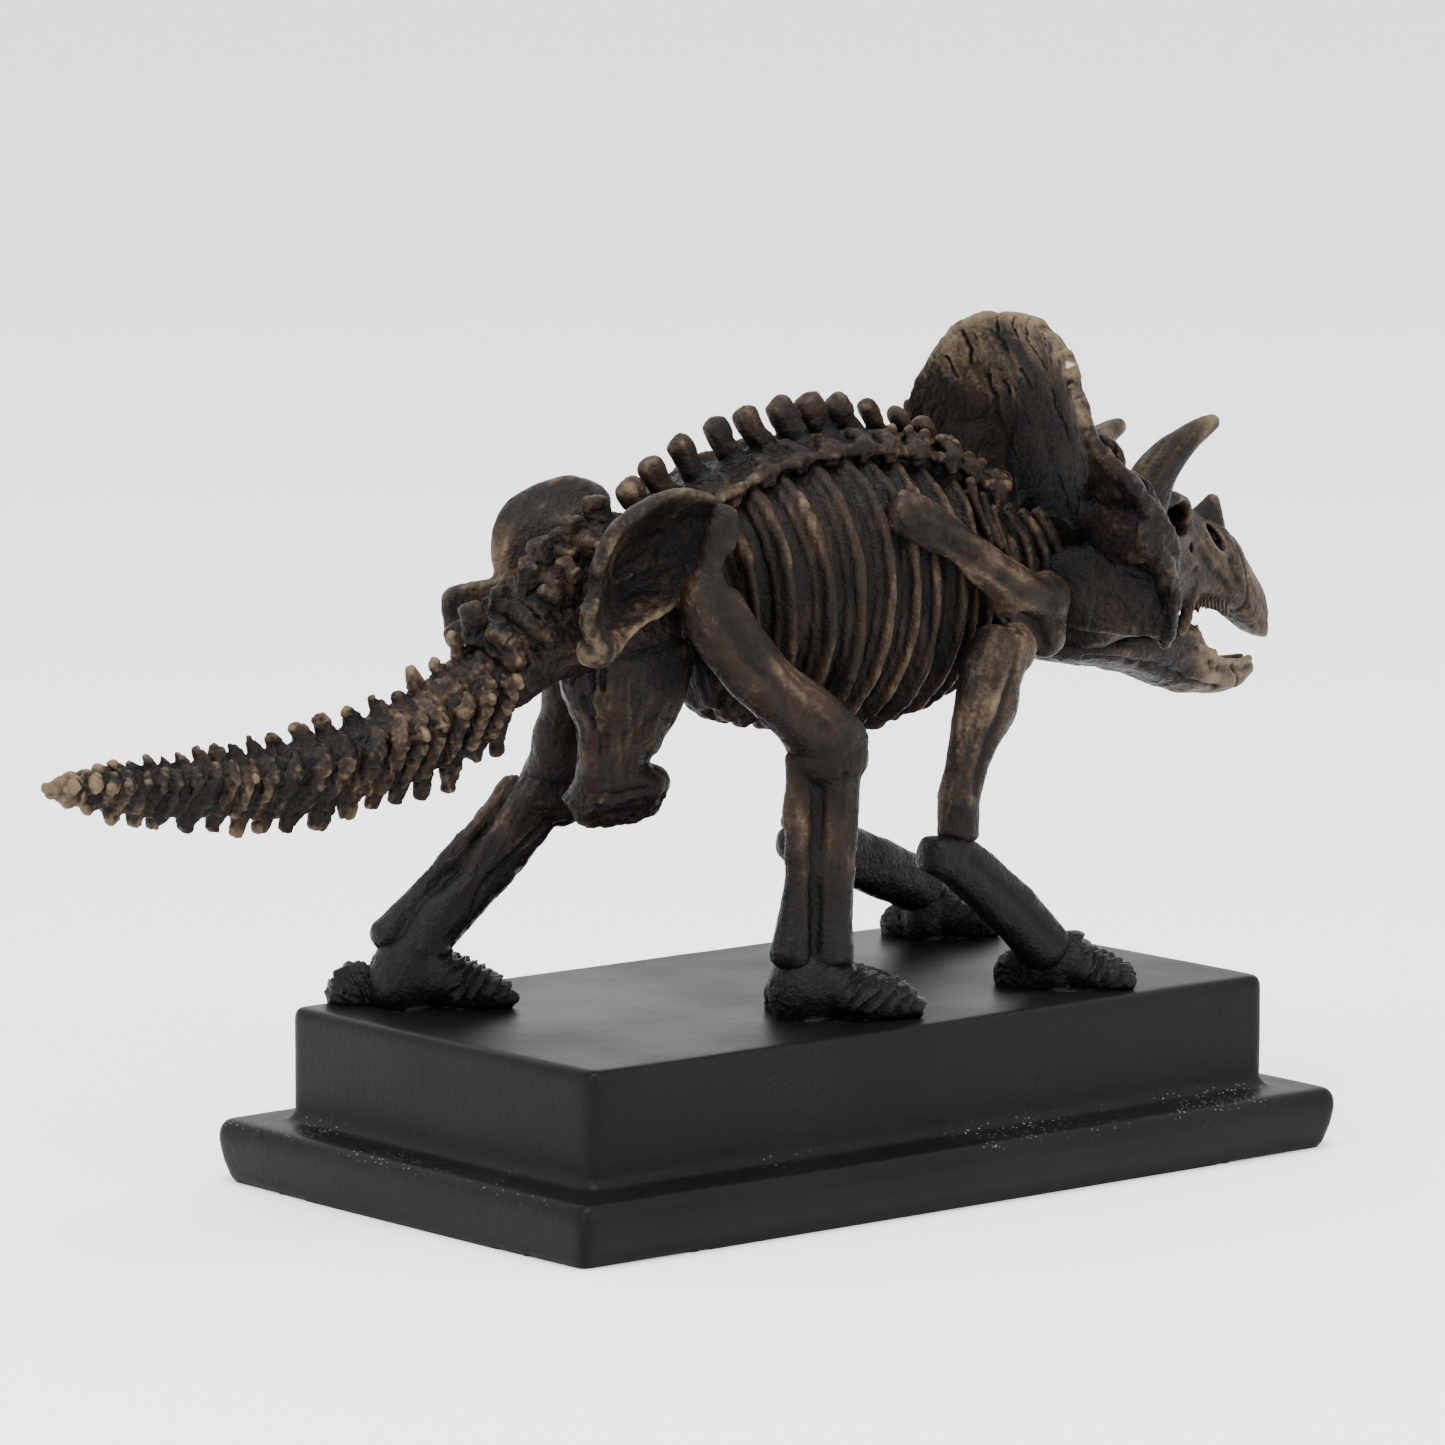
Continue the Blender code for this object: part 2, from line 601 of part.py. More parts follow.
def rib_cage_piece(side):
    """Half of the trunk with its ribs raised in relief, each rib a pair of high lines."""
    rings = [trunk_ring(-27.0, side, -RIB_RELIEF)]
    for x, half in zip(RIB_TOP_X, RIB_HALF_WIDTH):
        rings.append(trunk_ring(x - half * 1.25, side, -RIB_RELIEF))
        rings.append(trunk_ring(x - half * 0.62, side, RIB_RELIEF, drop=1.2))
        rings.append(trunk_ring(x + half * 0.62, side, RIB_RELIEF, drop=1.2))
        rings.append(trunk_ring(x + half * 1.25, side, -RIB_RELIEF))
    rings.append(trunk_ring(41.5, side, -RIB_RELIEF))
    return loft(rings, "ribs")


def trunk_hull(grow):
    """The trunk with no grooves, both halves, grown to cut a neighbour clear of it."""
    rings = []
    for x in (-27.0 - 2 * grow, -20.0, -12.0, -3.0, 6.0, 15.0, 24.0, 32.0, 41.5, 41.5 + 4 * grow):
        half = trunk_ring(x, LEFT, RIB_RELIEF, grow=grow)
        other = trunk_ring(x, RIGHT, RIB_RELIEF, grow=grow)
        rings.append(half + list(reversed(other))[1:-1])
    return loft(rings, "hull")


def sacrum_core(grow=0.0):
    stations = [(x, 0.0, z, width, height) for x, z, width, height in SACRUM]
    return tube(stations, sides=12, grow=grow, rounded=False)


def sacrum_pieces():
    """Five fused vertebrae: a row of spines on top and rows of blunt knobs down both sides."""
    pieces = [sacrum_core()]
    along = Vector((SACRUM[-1][0] - SACRUM[0][0], 0.0, SACRUM[-1][1] - SACRUM[0][1])).normalized()
    up = Vector((-along.z, 0.0, along.x)) * -1.0
    xs = [-row[0] for row in SACRUM]
    for number in range(SACRUM_BONES):
        x = -35.0 - 5.0 * number
        centre = Vector((x, 0.0, read(-x, xs, [row[1] for row in SACRUM])))
        wide = read(-x, xs, [row[2] for row in SACRUM])
        high = read(-x, xs, [row[3] for row in SACRUM])
        for angle in SACRUM_KNOB_ANGLES:
            if number < 2 and abs(angle) > 50:
                continue
            turn = math.radians(angle + 3.0 * math.sin(2.0 * number + angle))
            spot = centre + Vector((0.0, wide * math.sin(turn), 0.0)) + up * high * math.cos(turn)
            out = (spot - centre).normalized()
            rise = 3.0 if angle == 0 else 1.7
            rows = []
            for share, size in ((-2.4, 2.0), (rise - 1.0, 1.7), (rise, 0.9)):
                point = spot + out * share - along * 0.3 * share
                rows.append((*point, 0.86 * size, size))
            pieces.append(tube(rows, sides=4, across=tuple(out.cross(along)), rounded=False))
    return pieces


def tail_size(x):
    """Height of the spine tips and the chevron tips, and the half width, at x along the tail."""
    xs = [-v for v in TAIL_X]
    return read(-x, xs, TAIL_TOP), read(-x, xs, TAIL_BOTTOM), read(-x, xs, TAIL_HALF_WIDTH)


def tail_core(start, end, grow=0.0, steps=5):
    """A kite section that is widest high up, where the side processes stand."""
    rings = []
    for step in range(steps):
        x = start + (end - start) * step / (steps - 1)
        tip_top, tip_low, wide = tail_size(x)
        top = tip_top - TAIL_SPINE_SHARE * (tip_top - tip_low) + grow
        low = tip_low + TAIL_CHEVRON_SHARE * (tip_top - tip_low) - grow
        wide = 0.88 * wide + grow
        ridge = low + (top - low) * TAIL_RIDGE_SHARE
        shoulder = (top + 0.6 * ridge) / 1.6
        half = [(0.3, top), (0.74, shoulder), (1.0, ridge), (0.66, (ridge + low) / 2), (0.3, low)]
        ring = [(x, wide * share, z) for share, z in half]
        ring += [(x, -wide * share, z) for share, z in reversed(half)]
        rings.append(ring)
    return loft(rings, "tail")


def tail_spine(x, z, pitch):
    """The backward leaning spine of one tail vertebra, with its tip at x and z."""
    top, low, _ = tail_size(x)
    root = 0.27 * (top - low)
    base = 0.5 * pitch
    rows = ((x + 0.8 * base, 0.0, top - root, 0.6 * base, base), (x, 0.0, z, 0.3 * base, 0.36 * base))
    return tube(rows, sides=5, rounded=False)


def tail_chevron(x, z, pitch):
    """The blunt process under one tail vertebra."""
    top, low, _ = tail_size(x)
    root = 0.27 * (top - low)
    base = 0.42 * pitch
    rows = ((x + 0.5 * base, 0.0, low + root, 0.6 * base, base), (x, 0.0, z, 0.3 * base, 0.44 * base))
    return tube(rows, sides=5, rounded=False)


def tail_knob(x, side):
    """The block on the side of one tail vertebra."""
    top, low, wide = tail_size(x)
    core = low + TAIL_CHEVRON_SHARE * (top - low)
    ridge = core + (top - low) * (1 - TAIL_SPINE_SHARE - TAIL_CHEVRON_SHARE) * TAIL_RIDGE_SHARE
    size = 0.3 * wide
    rows = (
        (x + 0.8 * size, side * wide * 0.5, ridge, 1.3 * size, 1.1 * size),
        (x, side * (wide + 0.9), ridge + 0.6, 1.0 * size, 0.8 * size),
    )
    return tube(rows, sides=4, across=(1.0, 0.0, 0.0), rounded=False)


def tail_pieces(number):
    start, end = TAIL_SPANS[number]
    last = number == len(TAIL_SPANS) - 1
    pieces = [tail_core(start - GAP / 2, end if last else end + GAP / 2)]
    for tips, bone in ((TAIL_SPINE, tail_spine), (TAIL_CHEVRON, tail_chevron)):
        pitches = np.abs(np.gradient(np.array([x for x, _ in tips])))
        pieces += [bone(x, z, pitch) for (x, z), pitch in zip(tips, pitches) if end < x < start]
    for x in TAIL_KNOB_X:
        if end < x < start:
            pieces += [tail_knob(x, side) for side in (LEFT, RIGHT)]
    if last:
        tip = ((end + 4.0, 0.0, TAIL_TIP[2], 1.2, 1.5), (TAIL_TIP[0], 0.0, TAIL_TIP[2], 0.5, 0.6))
        pieces.append(tube(tip, sides=8))
    return pieces


def skull_ring(x, middle, half_width, half_height):
    """A head section: narrower above than at the cheeks, and nearly flat below."""
    shape = (
        (0.0, 1.0), (0.42, 0.94), (0.74, 0.66), (0.94, 0.22), (1.0, -0.28),
        (0.92, -0.74), (0.6, -0.96), (0.0, -1.0),
    )
    half = [(x, half_width * across, middle + half_height * up) for across, up in shape]
    return half + [(x, -y, z) for x, y, z in reversed(half[1:-1])]


def skull_core(grow=0.0):
    rows = [(x, middle, wide + grow, high + grow) for x, middle, wide, high in SKULL]
    rows[0] = (rows[0][0] - grow, *rows[0][1:])
    rows[-1] = (rows[-1][0] + grow, *rows[-1][1:])
    return loft([skull_ring(*row) for row in rows], "skull")


def brow(side, grow=0.0):
    """The ridge over the eye, from the horn's foot forward."""
    x, y, z = EYE_AT
    rows = ((x - 7.0, side * (y + 1.0), z + 2.6, 2.4, 1.8), (x + 2.4, side * (y - 0.8), z + 1.9, 1.4, 1.1))
    return tube(rows, sides=6, grow=grow)


def skull_pieces():
    pieces = [skull_core()]
    for side in (LEFT, RIGHT):
        pieces.append(brow(side))
        pieces.append(tube(on_side(CHEEK_HORN, side), sides=8))
        for number in range(UPPER_TEETH):
            x = TOOTH_START + TOOTH_PITCH * number
            y = side * (5.6 - 0.32 * number)
            tooth = ((x, y, 88.0, 0.75, 0.75), (x - 0.2, y, 83.9, 0.35, 0.35))
            pieces.append(tube(tooth, sides=4, rounded=False))
    return pieces


def skull_cutters():
    cutters = []
    for side in (LEFT, RIGHT):
        x, y, z = EYE_AT
        cutters.append(ball((x, side * y, z), (3.0, 3.4, 2.4), segments=10, rings=6))
        x, y, z = NOSTRIL_AT
        slot = ((x - 1.2, side * y, z + 1.6, 2.2, 0.9), (x + 1.2, side * y, z - 1.6, 2.2, 0.9))
        cutters.append(tube(slot, sides=8))
    return cutters


def frill_ring(rim, grow=0.0):
    """A leaf section of the shield from its middle out to one point of the rim."""
    centre = Vector(FRILL_CENTRE)
    out = Vector(rim) - centre
    reach = out.length
    out.normalize()
    ahead = Vector((1.0, 0.0, 0.25))
    ahead = (ahead - out * ahead.dot(out)).normalized()
    front = []
    back = []
    for share, half in FRILL_LEAF:
        if share == FRILL_LEAF[0][0]:
            share -= grow / reach
        line = centre + out * reach * share + ahead * FRILL_BULGE * math.sin(math.pi * share)
        front.append(line + ahead * (half + grow))
        back.append(line - ahead * (half + grow))
    tip = centre + out * (reach + grow)
    edge = FRILL_EDGE + grow
    return front + [tip + ahead * edge, tip - ahead * edge] + list(reversed(back))


def frill_core(grow=0.0):
    half = [Vector(point) for point in FRILL_RIM]
    other = [Vector((x, -y, z)) for x, y, z in FRILL_RIM[1:]]
    rims = list(reversed(other)) + half
    rings = [frill_ring(rim, grow) for rim in rims]
    for end, inner in ((0, 1), (-1, -2)):
        shift = (rims[end] - rims[inner]).normalized() * grow
        rings[end] = [point + shift for point in rings[end]]
    return loft(rings, "frill")


def occiput(grow=0.0):
    return ball((62.0, 0.0, 98.0), (6.0 + grow, 9.0 + grow, 8.0 + grow), segments=12, rings=8)


def frill_pieces():
    return [frill_core(), occiput()]


def horn(stations, side, drop=0.0):
    """A horn core along its stations. The casting's left horn sags by drop at its tip."""
    count = len(stations) - 1
    rows = []
    for index, (x, y, z, radius) in enumerate(stations):
        rows.append((x + 0.3 * drop * index / count, side * y, z - drop * index / count, radius, radius))
    return tube(rows, sides=9)


def jaw_pieces():
    rows = [(x, 0.0, z, wide, high) for x, z, wide, high in JAW]
    pieces = [tube(rows, sides=12)]
    for side in (LEFT, RIGHT):
        for number in range(LOWER_TEETH):
            x = TOOTH_START + 0.4 + TOOTH_PITCH * number
            y = side * 3.4
            tooth = ((x, y, 77.0, 0.6, 0.6), (x + 0.3, y, 83.0 - 1.5 * number, 0.35, 0.35))
            pieces.append(tube(tooth, sides=4, rounded=False))
    return pieces


def neck_core(grow=0.0):
    rows = ((39.0, 0.0, 97.6, 7.6, 9.0), (48.0, 0.0, 96.6, 7.0, 8.0), (57.0, 0.0, 95.8, 7.6, 7.6))
    return tube(rows, sides=12, grow=grow, rounded=False)


def neck_pieces():
    pieces = [neck_core()]
    for number in range(3):
        x = 43.6 + 3.6 * number
        for side in (LEFT, RIGHT):
            rib = [(x + ahead, side * y, z, half, deep) for ahead, y, z, half, deep in NECK_RIB]
            pieces.append(tube(rib, sides=4, across=(1.0, 0.0, 0.0), rounded=False))
    return pieces


def ilium_ring(share, out, side):
    """The rim of the hip blade drawn in towards its hollow by share and moved out sideways."""
    x, y, z = HIP_CENTRE
    ring = []
    for rim_x, rim_y, rim_z in HIP_RIM:
        if side == LEFT and rim_x > HIP_FRONT:
            rim_x -= LEFT_HIP_SHORT
        here = y + (rim_y - y) * share + out
        ring.append((x + (rim_x - x) * share, side * here, z + (rim_z - z) * share))
    return ring


def ilium_pieces(side):
    return [loft([ilium_ring(share, out, side) for share, out in HIP_DEPTHS], "ilium")]


def pubis_core(grow=0.0):
    rows = [(x, 0.0, z, wide, long) for z, x, long, wide in PUBIS]
    return tube(rows, sides=12, grow=grow)


def blade_pieces(side, grow=0.0):
    stations = on_side(SHOULDER_BLADE, side)
    pieces = [tube(stations, sides=10, grow=grow)]
    for (x, y, z), radii in SHOULDER_LOBES:
        pieces.append(ball((x, side * y, z), [radius + grow for radius in radii], segments=8, rings=6))
    return pieces


def humerus_pieces(side, grow=0.0):
    return [tube(HUMERUS[side], sides=10, grow=grow)]


def forearm_pieces(side, grow=0.0):
    return [tube(FOREARM[side], sides=10, grow=grow)]


def femur_pieces(side, grow=0.0):
    return [tube(FEMUR[side], sides=10, grow=grow)]


def shin_pieces(side, grow=0.0):
    return [tube(TIBIA[side], sides=10, grow=grow), tube(FIBULA[side], sides=8, grow=grow)]


def foot_pieces(measure, heel_height, lobe_size):
    """A heel lobe, a smaller lobe beside it and a fan of blunt toes, all flat on the plinth."""
    heel_x, heel_y, heading, length, width, lobe_x, lobe_y = measure
    turn = math.radians(heading)
    forward = Vector((math.cos(turn), math.sin(turn), 0.0))
    across = Vector((-math.sin(turn), math.cos(turn), 0.0))
    heel = Vector((heel_x, heel_y, BLOCK_TOP + GAP + heel_height * 0.36))
    pieces = [ball(heel, (width * 0.3, width * 0.3, heel_height * 0.64), segments=12, rings=8)]
    lobe = (lobe_x, lobe_y, BLOCK_TOP + 0.15 * lobe_size)
    pieces.append(ball(lobe, (1.1 * lobe_size, lobe_size, lobe_size), segments=10, rings=6))
    thick = 0.7 * lobe_size
    bridge = ((*lobe, thick, thick), (heel_x, heel_y, lobe[2], 2.4, 2.4))
    pieces.append(tube(bridge, sides=6, across=tuple(forward), rounded=False))
    for number in range(TOES):
        share = 2 * number / (TOES - 1) - 1
        spread = across * share * width * 0.36
        reach = length * (1.0 - 0.26 * share * share)
        start = heel + across * share * width * 0.1
        middle = heel + forward * reach * 0.42 + spread * 0.72
        end = heel + forward * reach + spread
        thick = width * 0.155
        rows = (
            (start.x, start.y, BLOCK_TOP + heel_height * 0.5, thick * 1.1, heel_height * 0.34),
            (middle.x, middle.y, BLOCK_TOP + heel_height * 0.34, thick, heel_height * 0.3),
            (end.x, end.y, BLOCK_TOP + heel_height * 0.16, thick * 0.8, heel_height * 0.18),
        )
        pieces.append(tube(rows, sides=7, across=tuple(across)))
    return pieces


def plinth_top_cutter():
    """All that lies under the plinth's top face, with the gap."""
    mesh = bmesh.new()
    bmesh.ops.create_cube(mesh, size=1.0)
    height = 60.0
    place = Matrix.Translation(Vector((0.0, 0.0, BLOCK_TOP + GAP - height / 2)) * MM)
    mesh.transform(place @ Matrix.Diagonal((300.0 * MM, 200.0 * MM, height * MM, 1.0)))
    return mesh_object(mesh, "under_top")


def build_plinth():
    node("plinth", plinth_pieces(), PLINTH_FINISH)


def build_trunk():
    node("backbone", backbone_pieces(), BONE_FINISH, [sacrum_core(GAP)])
    for side, word in SIDES.items():
        cutters = [backbone_core(GAP, start=-40.0, end=46.0), sacrum_core(GAP)]
        node(f"rib_cage_{word}", [rib_cage_piece(side)], BONE_FINISH, cutters)


def build_hips():
    node("sacrum", sacrum_pieces(), BONE_FINISH)
    node("pubis", [pubis_core()], BONE_FINISH, [sacrum_core(GAP), trunk_hull(GAP)])
    for side, word in SIDES.items():
        cutters = [sacrum_core(GAP), trunk_hull(GAP), pubis_core(GAP), backbone_core(GAP)]
        cutters += femur_pieces(side, GAP)
        node(f"ilium_{word}", ilium_pieces(side), BONE_FINISH, cutters)


def build_tail():
    for number, (start, end) in enumerate(TAIL_SPANS):
        cutters = []
        if number:
            cutters.append(slab(start + 20.0, 80.0, 40.0 + GAP))
        if number < len(TAIL_SPANS) - 1:
            cutters.append(slab(end - 20.0, 80.0, 40.0 + GAP))
        if number == 0:
            cutters.append(sacrum_core(GAP))
        node(f"tail_{number + 1}", tail_pieces(number), BONE_FINISH, cutters)


def build_head():
    node("frill", frill_pieces(), BONE_FINISH)
    cutters = [frill_core(GAP), occiput(GAP), *skull_cutters()]
    node("skull", skull_pieces(), BONE_FINISH, cutters)
    node("lower_jaw", jaw_pieces(), BONE_FINISH, [skull_core(GAP), frill_core(GAP), occiput(GAP)])
    node("nose_horn", [horn(NOSE_HORN, LEFT)], BONE_FINISH, [skull_core(GAP)])
    for side, word in SIDES.items():
        piece = horn(BROW_HORN, side, LEFT_HORN_DROP if side == LEFT else 0.0)
        cutters = [skull_core(GAP), brow(side, GAP), frill_core(GAP)]
        node(f"brow_horn_{word}", [piece], BONE_FINISH, cutters)
    cutters = [trunk_hull(GAP), frill_core(GAP), occiput(GAP), skull_core(GAP), backbone_core(GAP)]
    node("neck", neck_pieces(), BONE_FINISH, cutters)


def build_legs():
    for side, word in SIDES.items():
        node(f"shoulder_blade_{word}", blade_pieces(side), BONE_FINISH, [trunk_hull(GAP)])
        cutters = [trunk_hull(GAP), *blade_pieces(side, GAP)]
        node(f"humerus_{word}", humerus_pieces(side), BONE_FINISH, cutters)
        node(f"forearm_{word}", forearm_pieces(side), BONE_FINISH, humerus_pieces(side, GAP))
        cutters = [*forearm_pieces(side, GAP), plinth_top_cutter()]
        node(f"fore_foot_{word}", foot_pieces(FORE_FOOT[side], 9.0, WRIST_LOBE), BONE_FINISH, cutters)
        cutters = [trunk_hull(GAP), sacrum_core(GAP), pubis_core(GAP)]
        node(f"femur_{word}", femur_pieces(side), BONE_FINISH, cutters)
        node(f"shin_{word}", shin_pieces(side), BONE_FINISH, femur_pieces(side, GAP))
        cutters = [*shin_pieces(side, GAP), plinth_top_cutter()]
        node(f"hind_foot_{word}", foot_pieces(HIND_FOOT[side], 11.0, SHIN_LOBE), BONE_FINISH, cutters)


def main():
    clear_scene()
    new_collection(COLLECTION)
    new_collection("pieces")
    build_plinth()
    build_trunk()
    build_hips()
    build_tail()
    build_head()
    build_legs()
    bpy.data.collections.remove(bpy.data.collections["pieces"])


main()
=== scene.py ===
"""Dresses the packed solids of a cast resin desk statue of a triceratops skeleton.

Every bone group is modelled again as fine clay inside the solids: its forms are laid down
as closed rods, balls and lofts, fused by a voxel remesh, softened as a casting is, and then
carved with grain, flakes, cracks and wrinkles. A paint step reads how hollow or how proud each
point is, and the resin's paint follows that. Lengths in tables are millimetres.
"""

import json
import math

import bpy
import numpy as np
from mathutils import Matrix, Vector

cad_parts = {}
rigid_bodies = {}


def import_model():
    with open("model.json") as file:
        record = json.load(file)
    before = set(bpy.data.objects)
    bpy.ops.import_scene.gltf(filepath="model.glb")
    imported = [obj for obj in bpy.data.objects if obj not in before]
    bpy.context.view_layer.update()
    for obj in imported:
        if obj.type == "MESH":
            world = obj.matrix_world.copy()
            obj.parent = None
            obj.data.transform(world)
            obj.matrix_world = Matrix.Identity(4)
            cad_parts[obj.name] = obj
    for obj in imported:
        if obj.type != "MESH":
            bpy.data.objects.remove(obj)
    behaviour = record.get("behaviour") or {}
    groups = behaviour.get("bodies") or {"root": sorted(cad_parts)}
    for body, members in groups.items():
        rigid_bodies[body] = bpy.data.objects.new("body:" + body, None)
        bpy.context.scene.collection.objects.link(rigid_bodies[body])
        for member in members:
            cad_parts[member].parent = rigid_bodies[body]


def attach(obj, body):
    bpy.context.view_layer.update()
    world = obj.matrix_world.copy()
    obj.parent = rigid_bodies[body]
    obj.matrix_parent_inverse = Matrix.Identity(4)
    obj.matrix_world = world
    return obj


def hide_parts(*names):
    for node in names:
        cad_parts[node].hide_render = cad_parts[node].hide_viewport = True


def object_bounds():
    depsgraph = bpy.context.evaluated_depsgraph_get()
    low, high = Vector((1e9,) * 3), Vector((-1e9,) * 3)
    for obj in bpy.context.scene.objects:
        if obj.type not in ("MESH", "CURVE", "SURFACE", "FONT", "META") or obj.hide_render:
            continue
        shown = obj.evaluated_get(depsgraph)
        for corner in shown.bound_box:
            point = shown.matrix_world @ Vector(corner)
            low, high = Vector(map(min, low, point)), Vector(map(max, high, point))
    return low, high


bl_info = {
    "name": "Triceratops skeleton statue",
    "version": (1, 0, 0),
    "blender": (4, 5, 0),
    "location": "3D View > Sidebar > Statue",
    "description": "Fine casts and paint for a desk statue of a triceratops skeleton",
    "category": "Object",
}

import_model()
CAD_BOX = [list(corner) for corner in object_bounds()]

MM = 0.001
GAP = 0.33
RIGHT = -1
LEFT = 1
SIDES = {RIGHT: "right", LEFT: "left"}

# The camera that was fitted to the plinth's edges in the photograph.
CAMERA_AT = (-0.82120, -0.97584, 0.24831)
CAMERA_AZIMUTH = -39.632
CAMERA_ELEVATION = 7.801
CAMERA_LENS = 195.61
CAMERA_SENSOR = 36.0

BLOCK_TOP = 29.1

TRUNK_X = (-27.0, -15.0, -5.0, 5.0, 15.0, 25.0, 33.0, 42.0)
TRUNK_TOP = (111.0, 114.6, 116.6, 117.4, 116.6, 114.6, 112.0, 107.5)
TRUNK_BOTTOM = (77.2, 76.6, 75.2, 74.0, 73.0, 75.0, 77.0, 84.0)
TRUNK_HALF_WIDTH = (10.5, 15.5, 18.2, 19.2, 18.4, 16.0, 13.0, 9.0)
RIB_TOP_X = (-22.6, -14.6, -7.8, -1.0, 5.0, 11.0, 17.2, 23.6, 28.8, 33.6, 38.2)
RIB_HALF_WIDTH = (1.7, 1.8, 1.8, 1.8, 1.7, 1.6, 1.5, 1.4, 1.2, 1.1, 1.0)
RIB_RELIEF = 1.35
RIB_SWEEP = ((-23.0, -15.0, -5.0, 17.0, 40.0), (9.0, 3.0, 0.5, -4.0, -2.5))

SPINE_TIP_X = (-33.0, -28.6, -22.4, -15.2, -8.6, -1.6, 4.6, 10.6, 17.2, 23.8, 29.6, 34.6)
SPINE_TIP_Z = (115.6, 119.2, 122.0, 124.6, 126.0, 126.9, 127.3, 126.8, 125.9, 124.3, 122.0, 118.8)
SPINE_LEAN = 5.6
PLATE_REACH = 9.8
PLATE_SHIFT = 3.8
PLATE_DROP = 8.3

TAIL_X = (-59.0, -68.0, -77.0, -86.0, -96.0, -106.0, -116.0, -126.0, -136.0, -144.0)
TAIL_TOP = (98.0, 93.6, 88.8, 85.0, 82.8, 81.0, 80.2, 79.7, 79.0, 77.9)
TAIL_BOTTOM = (75.0, 70.6, 67.4, 66.4, 65.2, 65.3, 66.9, 68.0, 70.2, 73.6)
TAIL_HALF_WIDTH = (8.4, 7.4, 6.6, 6.0, 5.4, 4.9, 4.3, 3.6, 2.7, 1.6)
TAIL_TIP = (-147.4, 0.0, 76.2)
TAIL_SPANS = ((-58.6, -86.0), (-86.0, -112.8), (-112.8, -146.6))
TAIL_SPINE = (
    (-63.6, 95.4), (-68.3, 94.2), (-72.5, 89.8), (-76.9, 89.3), (-80.4, 85.4), (-84.6, 85.3),
    (-89.9, 83.4), (-95.2, 83.2), (-99.7, 82.1), (-104.7, 80.8), (-108.5, 81.0), (-112.2, 80.5),
    (-115.4, 80.3), (-118.8, 80.3), (-122.4, 79.9), (-125.3, 79.8), (-128.2, 79.8), (-131.2, 79.4),
    (-134.2, 79.3), (-137.3, 78.9), (-140.5, 78.4), (-143.6, 77.9),
)
TAIL_CHEVRON = (
    (-59.9, 73.3), (-64.2, 73.2), (-69.6, 68.5), (-75.2, 67.8), (-80.0, 67.8), (-84.9, 67.1),
    (-89.9, 66.1), (-95.6, 65.1), (-101.6, 65.2), (-106.4, 65.5), (-111.0, 65.5), (-115.6, 66.8),
    (-120.9, 67.4), (-126.8, 68.0), (-130.9, 68.8), (-135.2, 70.0), (-139.6, 72.3), (-143.6, 73.8),
)

SKULL = (
    (55.0, 88.0, 6.0, 6.0), (60.0, 91.0, 11.5, 10.0), (66.0, 95.0, 13.0, 13.0),
    (72.0, 97.2, 12.6, 13.0), (78.0, 96.6, 10.6, 11.0), (84.0, 95.3, 8.4, 9.5),
    (87.0, 95.2, 7.4, 8.6), (90.0, 94.7, 6.6, 7.5), (93.0, 94.0, 6.0, 7.0), (96.0, 93.0, 5.5, 6.8),
    (99.8, 90.3, 4.6, 6.3), (103.4, 86.7, 3.5, 5.7), (106.6, 83.6, 2.5, 4.2),
    (108.4, 81.2, 1.2, 2.2),
)
SKULL_SECTION = (
    (0.0, 1.0), (0.42, 0.94), (0.74, 0.66), (0.94, 0.22), (1.0, -0.28),
    (0.92, -0.74), (0.6, -0.96), (0.0, -1.0),
)
FRILL_RIM = (
    (49.4, 0.0, 138.1), (49.2, 5.4, 137.8), (48.4, 11.0, 136.3), (47.6, 15.8, 132.5),
    (46.5, 19.8, 127.0), (46.1, 22.8, 122.2), (46.8, 24.4, 118.4), (49.4, 25.6, 115.2),
    (52.6, 26.6, 111.8), (56.2, 26.8, 107.9), (60.1, 27.0, 104.0), (63.6, 26.0, 99.6),
    (65.6, 24.0, 92.6), (66.6, 22.0, 86.6), (67.2, 19.4, 82.6),
)
FRILL_CENTRE = (64.0, 0.0, 100.0)
FRILL_BULGE = 0.8
FRILL_LEAF = ((0.10, 2.4), (0.4, 1.5), (0.72, 1.2), (0.9, 1.4), (1.0, 0.8))
# Long cracks in the shield's rear face, as y and z.
FRILL_CRACKS = (
    ((2.5, 137.4), (2.8, 134.0), (2.2, 131.6)), ((-1.9, 138.2), (-1.4, 136.4), (-2.2, 134.6)),
    ((-5.5, 137.6), (-4.7, 133.0), (-7.0, 129.0)), ((7.9, 127.2), (8.3, 125.2), (7.3, 123.4)),
    ((4.9, 126.2), (5.1, 123.8)), ((-12.2, 122.8), (-13.3, 118.5), (-11.6, 114.0)),
    ((-1.9, 110.4), (-3.2, 106.8), (-2.4, 104.0)), ((-18.2, 128.6), (-16.5, 124.5), (-18.2, 119.0)),
    ((10.5, 134.6), (9.9, 131.6), (10.4, 129.0)), ((-9.8, 136.0), (-10.6, 132.0), (-9.8, 130.4)),
    ((6.4, 117.6), (7.1, 114.6), (6.2, 111.6)), ((14.2, 130.0), (13.4, 126.6)), ((0.6, 128.4), (-0.4, 125.4)),
    ((-6.4, 125.6), (-5.8, 122.6), (-7.4, 119.4), (-7.0, 117.2)),
)
BROW_HORN = (
    (71.4, 8.6, 105.0, 4.4), (73.6, 9.4, 110.2, 3.7), (76.8, 10.4, 114.0, 2.9),
    (80.8, 11.4, 117.0, 2.1), (84.6, 12.2, 118.8, 1.3),
)
LEFT_HORN_DROP = 2.6
NOSE_HORN = ((94.6, 0.0, 97.4, 3.4), (95.2, 0.0, 101.0, 2.4), (95.8, 0.0, 104.2, 1.1))
